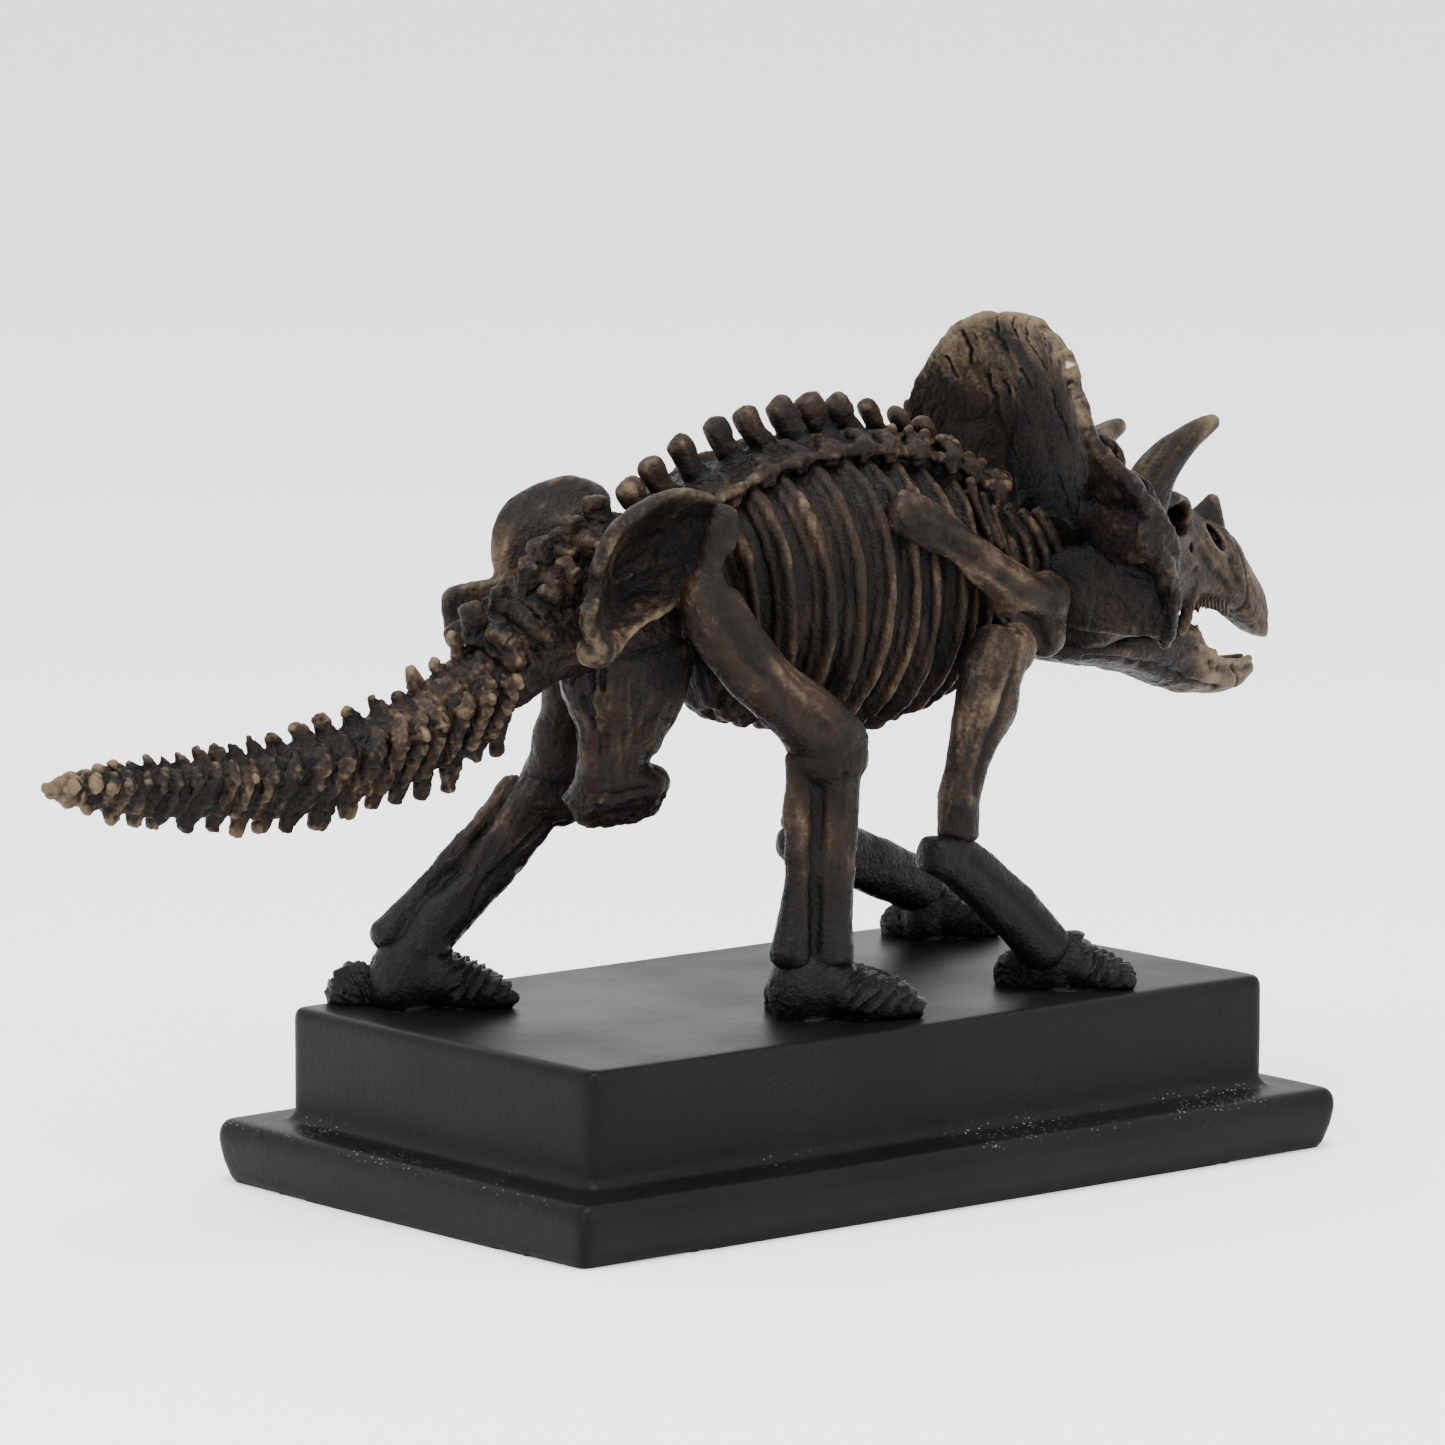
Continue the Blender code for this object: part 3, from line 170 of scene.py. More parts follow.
JAW = (
    (57.0, 81.0, 6.6, 1.8), (62.0, 81.2, 8.2, 2.6), (70.0, 80.8, 8.6, 3.2),
    (78.0, 80.4, 8.2, 5.4), (84.6, 79.2, 7.6, 6.4), (87.6, 77.6, 6.6, 6.2),
    (91.4, 76.6, 5.4, 5.2), (96.4, 73.2, 4.2, 3.3), (100.8, 73.3, 3.0, 1.9),
    (104.6, 74.2, 1.2, 0.9),
)
EYE_AT = (80.0, 7.4, 102.2)
NOSTRIL_AT = (92.2, 3.6, 98.0)
CHEEK_HORN = ((71.0, 10.0, 94.0, 3.0, 4.0), (69.4, 14.6, 88.0, 2.2, 3.4), (68.4, 16.8, 84.4, 1.4, 2.2))
NECK_RIB = ((0.0, 3.0, 105.0, 1.3, 1.2), (0.6, 7.8, 99.0, 1.2, 1.0), (1.6, 6.6, 91.0, 0.8, 0.8))

HIP_RIM = (
    (-53.6, 18.7, 89.8), (-56.2, 18.2, 94.6), (-55.4, 17.2, 98.4), (-50.2, 12.6, 100.2),
    (-50.0, 13.0, 104.0), (-47.8, 14.3, 110.0), (-42.4, 14.7, 113.6), (-35.6, 13.8, 115.4),
    (-29.2, 12.7, 115.1), (-24.2, 12.9, 112.8), (-22.8, 13.4, 108.2), (-24.4, 13.2, 103.4),
    (-29.4, 12.2, 98.6), (-36.0, 12.2, 95.4), (-43.0, 13.8, 93.4), (-49.6, 16.8, 90.6),
)
HIP_CENTRE = (-39.0, 10.4, 103.0)
HIP_DEPTHS = (
    (0.3, -3.0), (0.72, -2.0), (0.97, -1.4), (1.0, 0.2), (0.95, 1.4), (0.84, 1.0), (0.62, -0.6),
    (0.3, -1.0), (0.05, -1.1),
)
LEFT_HIP_SHORT = 3.4
HIP_FRONT = -32.0
SACRUM = (
    (-31.2, 103.0, 7.4, 9.6), (-37.0, 99.6, 9.0, 10.8), (-44.0, 95.0, 9.2, 10.6),
    (-51.0, 92.0, 8.8, 8.6), (-56.0, 89.6, 8.2, 8.0), (-60.4, 87.2, 8.0, 8.0),
)
SACRUM_BONES = 5
SACRUM_KNOB_ANGLES = (-78, -52, -26, 0, 26, 52, 78)
PUBIS = (
    (89.0, -33.0, 12.6, 9.0), (82.0, -33.8, 11.6, 8.0), (76.0, -34.6, 8.6, 6.6),
    (71.4, -36.2, 6.4, 5.2), (68.0, -36.0, 7.6, 5.8), (65.2, -35.5, 9.3, 6.6),
    (62.6, -35.2, 8.4, 5.4),
)

SHOULDER_BLADE = (
    (9.2, 17.2, 109.6, 1.8, 3.4), (14.0, 18.6, 107.2, 2.2, 4.0), (21.0, 19.6, 103.0, 2.0, 3.1),
    (28.0, 19.4, 98.2, 2.3, 3.7), (35.0, 18.4, 93.4, 3.0, 4.8), (41.0, 17.0, 89.6, 3.0, 4.6),
)
SHOULDER_LOBES = (((42.0, 16.6, 91.6), (4.0, 3.4, 4.0)), ((40.2, 17.0, 85.8), (3.2, 3.0, 3.4)))
FEMUR = {
    RIGHT: (
        (-26.0, -16.6, 111.6, 2.2, 2.2), (-26.8, -16.4, 108.2, 2.6, 3.2),
        (-28.6, -15.6, 102.6, 2.8, 3.2), (-28.6, -15.6, 97.0, 4.4, 5.2),
        (-24.8, -18.0, 89.4, 4.8, 5.4), (-19.4, -20.2, 82.8, 4.6, 5.2),
        (-14.0, -22.2, 78.0, 5.4, 5.6), (-10.2, -23.0, 73.4, 6.6, 6.4),
    ),
    LEFT: (
        (-26.0, 16.6, 111.6, 2.2, 2.2), (-26.8, 16.4, 108.2, 2.6, 3.2),
        (-28.6, 15.6, 102.6, 2.8, 3.2), (-30.4, 14.6, 96.0, 4.4, 5.2),
        (-32.0, 15.0, 88.0, 4.6, 5.2), (-31.4, 17.0, 78.6, 4.2, 4.8),
        (-30.4, 20.0, 70.6, 4.8, 5.2), (-30.0, 22.2, 63.4, 5.6, 5.8),
    ),
}
TIBIA = {
    RIGHT: (
        (-9.4, -23.4, 74.5, 5.4, 6.0), (-9.6, -23.6, 66.0, 4.3, 4.6), (-9.8, -23.4, 55.0, 3.8, 4.1),
        (-10.2, -23.0, 45.0, 4.0, 4.4), (-10.6, -22.8, 38.6, 4.8, 5.0),
    ),
    LEFT: (
        (-30.6, 21.8, 65.0, 4.8, 5.2), (-38.0, 24.0, 54.6, 4.0, 4.2), (-45.2, 25.6, 47.2, 3.8, 4.0),
        (-52.0, 26.8, 41.2, 4.2, 4.2), (-55.0, 27.2, 37.4, 4.8, 4.6),
    ),
}
FIBULA = {
    RIGHT: (
        (-14.6, -21.8, 71.0, 2.2, 2.4), (-15.2, -22.0, 62.0, 2.2, 2.2),
        (-15.2, -22.0, 50.0, 2.2, 2.3), (-16.2, -21.6, 39.6, 2.8, 2.8),
    ),
    LEFT: (
        (-34.2, 28.0, 63.2, 1.8, 1.8), (-41.0, 29.2, 56.2, 1.7, 1.7), (-46.2, 30.0, 51.2, 1.8, 1.8),
        (-52.0, 30.6, 45.6, 2.0, 2.0), (-58.6, 30.6, 40.2, 2.2, 2.2),
    ),
}
HUMERUS = {
    RIGHT: (
        (29.8, -20.6, 86.6, 4.6, 4.2), (27.0, -21.2, 82.0, 4.8, 5.4), (24.6, -22.0, 76.6, 4.2, 5.8),
        (21.4, -22.6, 70.6, 3.6, 4.2), (18.4, -23.2, 63.6, 3.4, 3.5), (16.8, -24.0, 56.2, 3.9, 3.5),
    ),
    LEFT: (
        (31.4, 20.6, 87.0, 4.6, 4.6), (30.4, 21.0, 81.0, 4.6, 6.0), (28.2, 21.4, 74.0, 4.2, 5.4),
        (25.6, 21.8, 66.6, 3.5, 4.0), (24.4, 22.2, 59.0, 3.4, 3.4), (22.8, 22.8, 51.8, 3.8, 3.4),
    ),
}
FOREARM = {
    RIGHT: (
        (11.4, -24.0, 53.4, 3.4, 2.9), (17.2, -24.4, 51.5, 3.6, 4.3), (23.7, -25.2, 46.1, 3.4, 4.4),
        (29.3, -26.2, 40.8, 3.6, 4.4), (33.8, -27.0, 36.0, 4.0, 4.3),
    ),
    LEFT: (
        (21.0, 23.0, 48.6, 3.3, 2.9), (27.4, 23.4, 47.5, 3.4, 4.9), (37.4, 24.2, 44.2, 3.3, 5.0),
        (46.8, 25.2, 40.5, 3.4, 4.7), (53.2, 26.0, 37.2, 3.8, 4.4),
    ),
}
TOES = 4
HIND_FOOT = {
    RIGHT: (-13.6, -21.6, -10.0, 18.0, 22.0, -9.6, -14.2),
    LEFT: (-57.0, 27.6, -8.0, 16.0, 22.0, -60.6, 36.2),
}
FORE_FOOT = {
    RIGHT: (36.0, -26.6, -18.0, 13.0, 14.0, 34.6, -19.4),
    LEFT: (53.0, 25.4, -4.0, 12.6, 14.0, 53.4, 31.0),
}


# Clay: closed forms in millimetres, fused and carved.

def spline(rows, steps):
    """Rows of a table with steps smooth rows laid between each pair."""
    rows = np.asarray(rows, float)
    if steps < 2:
        return rows
    ends = np.vstack([2 * rows[0] - rows[1], rows, 2 * rows[-1] - rows[-2]])
    out = []
    for a, b, c, d in zip(ends, ends[1:], ends[2:], ends[3:]):
        for step in range(steps):
            t = step / steps
            line = 2 * b + (c - a) * t + (2 * a - 5 * b + 4 * c - d) * t * t
            out.append(0.5 * (line + (3 * b - 3 * c + d - a) * t ** 3))
    return np.vstack([out, rows[-1]])


def unit(vectors):
    return vectors / np.maximum(np.linalg.norm(vectors, axis=-1, keepdims=True), 1e-9)


class Clay:
    """A heap of closed forms that a remesh fuses."""

    def __init__(self):
        self.points = []
        self.quads = []
        self.caps = []
        self.count = 0

    def loft(self, rings):
        rings = np.asarray(rings, float)
        number, around = rings.shape[:2]
        index = np.arange(number * around).reshape(number, around) + self.count
        beside = np.roll(index, -1, axis=1)
        self.quads.append(np.stack([index[:-1], beside[:-1], beside[1:], index[1:]], -1).reshape(-1, 4))
        self.caps += [index[0][::-1].tolist(), index[-1].tolist()]
        self.points.append(rings.reshape(-1, 3))
        self.count += number * around

    def rod(self, stations, sides=18, steps=4, across=(0.0, 1.0, 0.0), cap=0.5, square=1.0):
        """Oval sections along a smooth path, x, y, z, half width along across, half depth."""
        rows = spline(stations, steps)
        centre, halves = rows[:, :3], np.maximum(rows[:, 3:5], 0.15)
        along = unit(np.gradient(centre, axis=0))
        if cap:
            turns = np.radians([28.0, 52.0, 74.0])
            first = [(centre[0] - along[0] * cap * halves[0].min() * math.sin(t), halves[0] * math.cos(t), along[0]) for t in turns]
            last = [(centre[-1] + along[-1] * cap * halves[-1].min() * math.sin(t), halves[-1] * math.cos(t), along[-1]) for t in turns]
            centre = np.vstack([[r[0] for r in reversed(first)], centre, [r[0] for r in last]])
            halves = np.vstack([[r[1] for r in reversed(first)], halves, [r[1] for r in last]])
            along = np.vstack([[r[2] for r in reversed(first)], along, [r[2] for r in last]])
        side = np.asarray(across, float)
        side = unit(side - along * (along @ side)[:, None])
        up = np.cross(along, side)
        angle = 2 * np.pi * (np.arange(sides) + 0.5) / sides
        wide = np.sign(np.cos(angle)) * np.abs(np.cos(angle)) ** square
        deep = np.sign(np.sin(angle)) * np.abs(np.sin(angle)) ** square
        self.loft(
            centre[:, None]
            + side[:, None] * halves[:, 0, None, None] * wide[None, :, None]
            + up[:, None] * halves[:, 1, None, None] * deep[None, :, None]
        )

    def ball(self, centre, radii, sides=18):
        x, y, z = centre
        reach, wide, deep = radii
        rows = [(x - 0.01, y, z, wide, deep), (x + 0.01, y, z, wide, deep)]
        turns = np.radians(np.linspace(-84, 84, 11))
        angle = 2 * np.pi * np.arange(sides) / sides
        self.loft([
            np.stack([
                np.full(sides, x + reach * math.sin(t)),
                y + wide * math.cos(t) * np.cos(angle),
                z + deep * math.cos(t) * np.sin(angle),
            ], 1) for t in turns
        ])
        return rows

    def data(self, name):
        faces = np.vstack(self.quads).tolist() + self.caps
        mesh = bpy.data.meshes.new(name)
        mesh.from_pydata((np.vstack(self.points) * MM).tolist(), [], faces)
        return mesh


def evaluated_mesh(piece):
    bpy.context.view_layer.update()
    graph = bpy.context.evaluated_depsgraph_get()
    return bpy.data.meshes.new_from_object(piece.evaluated_get(graph))


def fused(clay, name, voxel):
    """One object whose surface wraps all the clay at a voxel size in millimetres."""
    piece = bpy.data.objects.new(name, clay.data(name))
    bpy.context.scene.collection.objects.link(piece)
    remesh = piece.modifiers.new("fuse", "REMESH")
    remesh.mode = "VOXEL"
    remesh.voxel_size = voxel * MM
    remesh.adaptivity = 0.0
    mesh = evaluated_mesh(piece)
    piece.modifiers.clear()
    old = piece.data
    piece.data = mesh
    mesh.name = name
    bpy.data.meshes.remove(old)
    return piece


def points_of(mesh):
    found = np.empty(len(mesh.vertices) * 3, np.float32)
    mesh.vertices.foreach_get("co", found)
    return found.reshape(-1, 3).astype(float) / MM


def set_points(mesh, points):
    mesh.vertices.foreach_set("co", (points * MM).astype(np.float32).ravel())
    mesh.update()


def normals_of(mesh):
    found = np.empty(len(mesh.vertices) * 3, np.float32)
    mesh.vertex_normals.foreach_get("vector", found)
    return found.reshape(-1, 3).astype(float)


def edges_of(mesh):
    found = np.empty(len(mesh.edges) * 2, np.int32)
    mesh.edges.foreach_get("vertices", found)
    return found.reshape(-1, 2)


def relaxed(values, edges, rounds, share=0.5):
    """Values at points, each drawn towards the mean of its neighbours rounds times."""
    count = len(values)
    one, two = edges[:, 0], edges[:, 1]
    links = np.maximum(np.bincount(one, minlength=count) + np.bincount(two, minlength=count), 1)
    values = np.array(values, float)
    flat = values.ndim == 1
    columns = values[:, None] if flat else values
    for _ in range(rounds):
        for axis in range(columns.shape[1]):
            row = columns[:, axis]
            total = np.bincount(one, row[two], count) + np.bincount(two, row[one], count)
            columns[:, axis] = row + share * (total / links - row)
    return columns[:, 0] if flat else columns


# Carving: fields in millimetres at points, the same each run.

def hashed(x, y, z, seed):
    mixed = ((x * 73856093) ^ (y * 19349663) ^ (z * 83492791) ^ (seed * 40503 + 977)) & 0xFFFFFFFF
    mixed = ((mixed ^ (mixed >> 13)) * 1274126177) & 0xFFFFFFFF
    return ((mixed ^ (mixed >> 16)) & 0xFFFF) / 32767.5 - 1.0


def noise(points, seed=0):
    """Smooth random values from -1 to 1, one unit from crest to hollow."""
    cell = np.floor(points).astype(np.int64)
    part = points - cell
    part = part * part * (3 - 2 * part)
    total = np.zeros(len(points))
    for x in (0, 1):
        for y in (0, 1):
            for z in (0, 1):
                weight = np.ones(len(points))
                for axis, corner in enumerate((x, y, z)):
                    weight *= part[:, axis] if corner else 1 - part[:, axis]
                total += weight * hashed(cell[:, 0] + x, cell[:, 1] + y, cell[:, 2] + z, seed)
    return total


def layered(points, size, octaves=3, seed=0):
    total = np.zeros(len(points))
    for octave in range(octaves):
        total += noise(points / size * 2 ** octave + 17.3 * octave, seed + octave) / 2 ** octave
    return total


def smoothstep(low, high, values):
    t = np.clip((values - low) / (high - low), 0, 1)
    return t * t * (3 - 2 * t)


def stretched(points, along, long, short):
    """Points in cells that are long mm along a direction and short mm across it."""
    along = unit(np.asarray(along, float))
    far = points @ along
    rest = points - far[:, None] * along
    return rest / short + (far / long)[:, None] * along


def distance_to_line(flat, line):
    """Distance of 2-D points from a polyline, and how far along it the nearest place lies."""
    best = np.full(len(flat), 1e9)
    for start, end in zip(line, line[1:]):
        start, end = np.asarray(start, float), np.asarray(end, float)
        step = end - start
        t = np.clip((flat - start) @ step / (step @ step), 0, 1)
        best = np.minimum(best, np.linalg.norm(flat - start - t[:, None] * step, axis=1))
    return best


def groove(flat, line, width, depth):
    gap = distance_to_line(flat, line)
    return -depth * np.exp(-((gap / width) ** 2))


FRILL_CHIPS = ((-17.2, 131.0, 0.6), (12.6, 135.4, 0.3))


def distance_to_path(points, path):
    """Distance of points from a polyline in space."""
    best = np.full(len(points), 1e9)
    for start, end in zip(path, path[1:]):
        start, end = np.asarray(start, float), np.asarray(end, float)
        step = end - start
        t = np.clip((points - start) @ step / (step @ step), 0, 1)
        best = np.minimum(best, np.linalg.norm(points - start - t[:, None] * step, axis=1))
    return best


def furrow(points, path, width, depth):
    """A soft channel pressed in along a path in space."""
    return -depth * np.exp(-((distance_to_path(points, path) / width) ** 2))


def bone_grain(points, along, seed, dent=0.26, streak=0.08, pit=0.12):
    """The worn, faintly fibrous skin of a sculpted bone, with fibres along it."""
    fibres = noise(stretched(points, along, 8.0, 1.1), seed) + 0.6 * noise(stretched(points, along, 3.6, 0.6), seed + 3)
    height = dent * layered(points, 5.2, 2, seed + 5)
    height += 0.35 * dent * np.round(1.6 * noise(points / 2.4, seed + 7))
    height += streak * fibres
    height -= pit * smoothstep(0.5, 0.95, noise(points / 1.2, seed + 9))
    return height, fibres


def carve(piece, heights):
    """Move each point out along its normal by a height in millimetres."""
    mesh = piece.data
    set_points(mesh, points_of(mesh) + normals_of(mesh) * heights[:, None])


def soften(piece, rounds, share=0.5):
    mesh = piece.data
    set_points(mesh, relaxed(points_of(mesh), edges_of(mesh), rounds, share))


def keep_inside(piece):
    """Hold the cast inside the box of the solids."""
    low, high = (np.array(corner) / MM for corner in CAD_BOX)
    mesh = piece.data
    set_points(mesh, np.clip(points_of(mesh), low + 0.01, high - 0.01))


def add_field(mesh, name, values):
    field = mesh.attributes.get(name) or mesh.attributes.new(name, "FLOAT", "POINT")
    field.data.foreach_set("value", np.asarray(values, np.float32))


def place(piece, nodes):
    """Smooth shading, and the piece takes the place of its solids."""
    keep_inside(piece)
    piece.data.shade_smooth()
    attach(piece, "root")
    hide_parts(*nodes)


def cast_bone(node, clay, along=(1.0, 0.0, 0.0), voxel=0.36, soft=3, seed=1, extra=None, grow=0.1, **grain):
    """Fuse the clay of one bone group, soften it, carve it and put it in its node's place."""
    piece = fused(clay, f"{node}_cast", voxel)
    soften(piece, soft)
    points = points_of(piece.data)
    heights, fibres = bone_grain(points, along, seed, **grain)
    if extra:
        heights = heights + extra(points)
    carve(piece, heights + grow)
    soften(piece, 1, 0.25)
    add_field(piece.data, "fibre", fibres)
    place(piece, [node])
    return piece


def on_side(stations, side):
    rows = np.array(stations, float)
    rows[:, 1] *= side
    return rows


# Bone groups.

def trunk_line(x, side, relief, drop=0.0, count=44, inner=-0.5):
    """One line down the side of the trunk from the backbone to the belly."""
    top = np.interp(x, TRUNK_X, TRUNK_TOP)
    bottom = np.interp(x, TRUNK_X, TRUNK_BOTTOM) - drop
    half_width = np.interp(x, TRUNK_X, TRUNK_HALF_WIDTH) + relief
    middle, half_height = (top + bottom) / 2, (top - bottom) / 2
    share = np.linspace(0, 1, count)
    angle = np.pi * share
    shift = 2.0 * np.sin(angle) + np.interp(x, *RIB_SWEEP) * share
    y = inner + (half_width - inner) * np.sin(angle).clip(0, 1) ** 0.86
    return np.stack([x + shift, side * y, middle + half_height * np.cos(angle)], 1)


def rib_clay(side):
    clay = Clay()
    clay.loft([trunk_line(x, side, -RIB_RELIEF - 0.2) for x in np.linspace(-27.0, 41.5, 70)])
    for number, (x, half) in enumerate(zip(RIB_TOP_X, RIB_HALF_WIDTH)):
        line = trunk_line(x, side, RIB_RELIEF - 1.75, drop=0.9)
        wobble = math.sin(2.4 * number)
        share = np.linspace(0, 1, len(line))
        line[:, 0] += 0.5 * np.sin(7 * share + 3 * wobble)
        wide = 0.6 * half * (1.0 + 0.22 * np.exp(-(((share - 0.08) / 0.05) ** 2)) - 0.2 * share ** 3)
        wide *= 1.0 + 0.1 * np.sin(9 * share + wobble) + 0.07 * np.sin(23 * share + 5 * wobble)
        deep = 1.7 - 0.3 * share ** 2 + 0.12 * np.sin(6 * share + 2 * wobble)
        rows = np.column_stack([line, wide, deep])[2:-1]
        clay.rod(rows, sides=14, steps=1, across=(1.0, 0.0, 0.0), cap=0.8, square=0.7)
        # The rib's rear slopes down to the ground between the ribs.
        low = trunk_line(x - 0.7 * half, side, -1.45, drop=0.6)
        low[:, 0] += 0.5 * np.sin(7 * share + 3 * wobble)
        rows = np.column_stack([low, 0.6 * half * (1.0 + 0.1 * np.sin(11 * share + wobble)), np.full(len(low), 0.95)])[3:-2]
        clay.rod(rows, sides=12, steps=1, across=(1.0, 0.0, 0.0), cap=0.8)
        if number < 2:
            clay.ball(line[3] + [0, 0, 0.4], (1.0 * half, 1.8, 1.5), sides=12)
    for x, y, z in ((31.2, 10.4, 112.4), (34.2, 10.2, 109.8), (37.0, 9.6, 107.4)):
        rows = ((x + 2.2, side * (y + 2.0), z - 9.0, 0.7, 0.9), (x + 0.8, side * (y + 0.6), z - 4.0, 0.75, 0.8), (x, side * y, z, 0.8, 0.7))
        clay.rod(rows, sides=10, across=(1.0, 0.0, 0.0))
    return clay


def make_ribs():
    for side, word in SIDES.items():
        def edges_of_ribs(points, side=side):
            # The belly's edge is ragged, as the ribs end there.
            low = smoothstep(80.0, 75.0, points[:, 2])
            return 0.5 * low * layered(points, 2.2, 2, 25)
        cast_bone(
            f"rib_cage_{word}", rib_clay(side), along=(0.0, 0.0, 1.0), soft=2, seed=21 + side,
            extra=edges_of_ribs, dent=0.16, streak=0.13, pit=0.1,
        )


def plate_level(x):
    places = [tip + PLATE_SHIFT for tip in SPINE_TIP_X]
    return np.interp(x, places, [tip - PLATE_DROP for tip in SPINE_TIP_Z])


def backbone_clay():
    clay = Clay()
    rings = []
    for x in np.linspace(-31.8, 41.0, 90):
        level = plate_level(x)
        half = [(1.2, 1.2), (3.6, 1.0), (PLATE_REACH - 2.4, 0.4), (PLATE_REACH - 1.8, -0.8), (4.4, -6.4), (2.0, -7.0)]
        ring = [(x, y, level + z) for y, z in half] + [(x, -y, level + z) for y, z in reversed(half)]
        rings.append(ring)
    clay.loft(rings)
    for number, (x, z) in enumerate(zip(SPINE_TIP_X, SPINE_TIP_Z)):
        root_x, root_z = x + SPINE_LEAN, z - 10.5
        vary = math.sin(2.3 * number)
        slim = 1.0 if number < 8 else 0.6
        spine = (
            (root_x + 1.8, 0.0, root_z - 1.4, 2.8, 2.9), (root_x - 0.2, 0.0, root_z + 1.6, 2.2, 2.5),
            (root_x - 1.9, 0.0, root_z + 4.4, 1.7, 2.05 * slim), (x + 2.3, 0.0, z - 4.4, 1.6, 1.8 * slim),
            (x + 1.0, 0.0, z - 2.1, 1.8 + 0.15 * vary, 2.1 * slim), (x + 0.1 + 0.2 * vary, 0.0, z - 0.8, 1.6, 1.95 * slim),
        )
        clay.rod(spine, sides=18, cap=0.3, square=0.72)
        place_x = x + PLATE_SHIFT
        level = plate_level(place_x)
        reach = PLATE_REACH - 0.3 * (number % 3)
        for side in (LEFT, RIGHT):
            jitter = 0.5 * math.sin(3.7 * number + side)
            wing = (
                (root_x - 1.0, side * 1.2, root_z + 3.0, 1.5, 1.2), (place_x + 2.8, side * 3.8, level + 1.5, 1.2, 1.0),
                (place_x + 2.0 + jitter, side * (reach - 2.8), level + 0.9, 1.4, 0.8), (place_x + 1.2 + jitter, side * (reach - 0.9), level + 0.1, 2.0, 0.8),
            )
            clay.rod(wing, sides=14, across=(1.0, 0.0, 0.0), cap=0.3, square=0.55)
            drop = (
                (place_x + 1.0 + jitter, side * (reach - 1.2), level + 0.2, 1.6, 0.7),
                (place_x + 1.4 + jitter, side * (reach - 1.5), level - 2.2, 1.2, 0.7),
            )
            clay.rod(drop, sides=12, across=(1.0, 0.0, 0.0), cap=0.5, square=0.6)
            hump = (
                (root_x + 2.4, side * 1.6, root_z + 1.6, 0.9, 1.1), (root_x + 2.4, side * 4.0, root_z + 1.1, 0.9, 1.0),
                (place_x + 5.0, side * 5.8, level + 0.9, 0.8, 0.9),
            )
            clay.rod(hump if number < 8 else hump[1:], sides=12, across=(1.0, 0.0, 0.0), square=0.5)
    for side in (LEFT, RIGHT):
        rail = [(x, side * (PLATE_REACH - 1.4), plate_level(x) - 0.2, 0.9, 0.8) for x in np.linspace(-23.5, 38.0, 30)]
        clay.rod(rail, sides=12, steps=2, across=(0.0, 1.0, 0.0), square=0.7)
        for x in (18.8, 22.4, 26.0, 29.4, 32.6, 35.6):
            z = plate_level(x) + 3.8
            rows = ((x + 2.2, side * 4.4, z - 6.0, 1.0, 1.2), (x + 0.8, side * 4.8, z - 2.4, 0.7, 1.0), (x, side * 5.0, z, 0.55, 0.8))
            clay.rod(rows, sides=10)
    return clay


def make_backbone():
    def chipped(points):
        low = smoothstep(3.4, 1.6, points[:, 2] - plate_level(points[:, 0]))
        return (0.08 + 0.22 * low) * np.round(1.3 * layered(points, 2.6, 2, 33)) - 0.25 * low * smoothstep(0.3, 0.8, noise(points / 1.3, 35))
    cast_bone(
        "backbone", backbone_clay(), along=(-0.45, 0.0, 0.9), soft=2, seed=31, extra=chipped, dent=0.25, streak=0.12, pit=0.2, grow=0.18,
    )


def sacrum_clay():
    clay = Clay()
    narrow = (0.72, 0.7, 0.8, 0.96, 1.0, 1.0)
    rows = [(x, 0.0, z, (wide - 0.6) * slim, high - 0.8) for (x, z, wide, high), slim in zip(SACRUM, narrow)]
    clay.rod(rows, sides=40, cap=0.3)
    start, end = np.array(SACRUM[0]), np.array(SACRUM[-1])
    along = unit(np.array([end[0] - start[0], 0.0, end[1] - start[1]]))
    up = -np.array([-along[2], 0.0, along[0]])
    xs = [-row[0] for row in SACRUM]
    for number in range(2 * SACRUM_BONES + 1):
        x = -34.0 - 2.6 * number
        odd = number % 2
        centre = np.array([x, 0.0, np.interp(-x, xs, [row[1] for row in SACRUM])])
        wide = np.interp(-x, xs, [row[2] for row in SACRUM])
        high = np.interp(-x, xs, [row[3] for row in SACRUM])
        for angle in (-78, -46, -17, 17, 46, 78) if odd else (-64, -33, 0, 33, 64):
            if number < 7 and abs(angle) > 40:
                continue
            turn = math.radians(angle + 6.0 * math.sin(2.0 * number + angle))
            spot = centre + np.array([0.0, wide * math.sin(turn), 0.0]) + up * high * math.cos(turn)
            out = unit(spot - centre)
            rise = 3.4 if angle == 0 else 0.2 if odd else 1.5
            size = 1.0 + 0.22 * math.sin(5.1 * number + angle)
            tilt = 0.35 * math.sin(7.7 * number + 0.3 * angle)
            wide_block = 1.4 if angle == 0 else 2.5
            rows = [
                (*(spot + out * share - along * 0.3 * share), wide_block * size * grow, (1.8 if angle == 0 else 1.25) * grow)
                for share, grow in ((-2.6, 1.25), (rise - 1.2, 1.0), (rise - 0.2, 0.85))
            ]
            clay.rod(rows, sides=16, across=np.cross(out, along) + tilt * along, cap=0.15, square=0.42)
    return clay


def periodic(rows, steps):
    """A closed loop of rows with steps smooth rows for each."""
    rows = np.asarray(rows, float)
    looped = spline(np.vstack([rows[-2:], rows, rows[:2]]), steps)
    return looped[2 * steps:-2 * steps + (0 if steps > 1 else 0)][: len(rows) * steps]


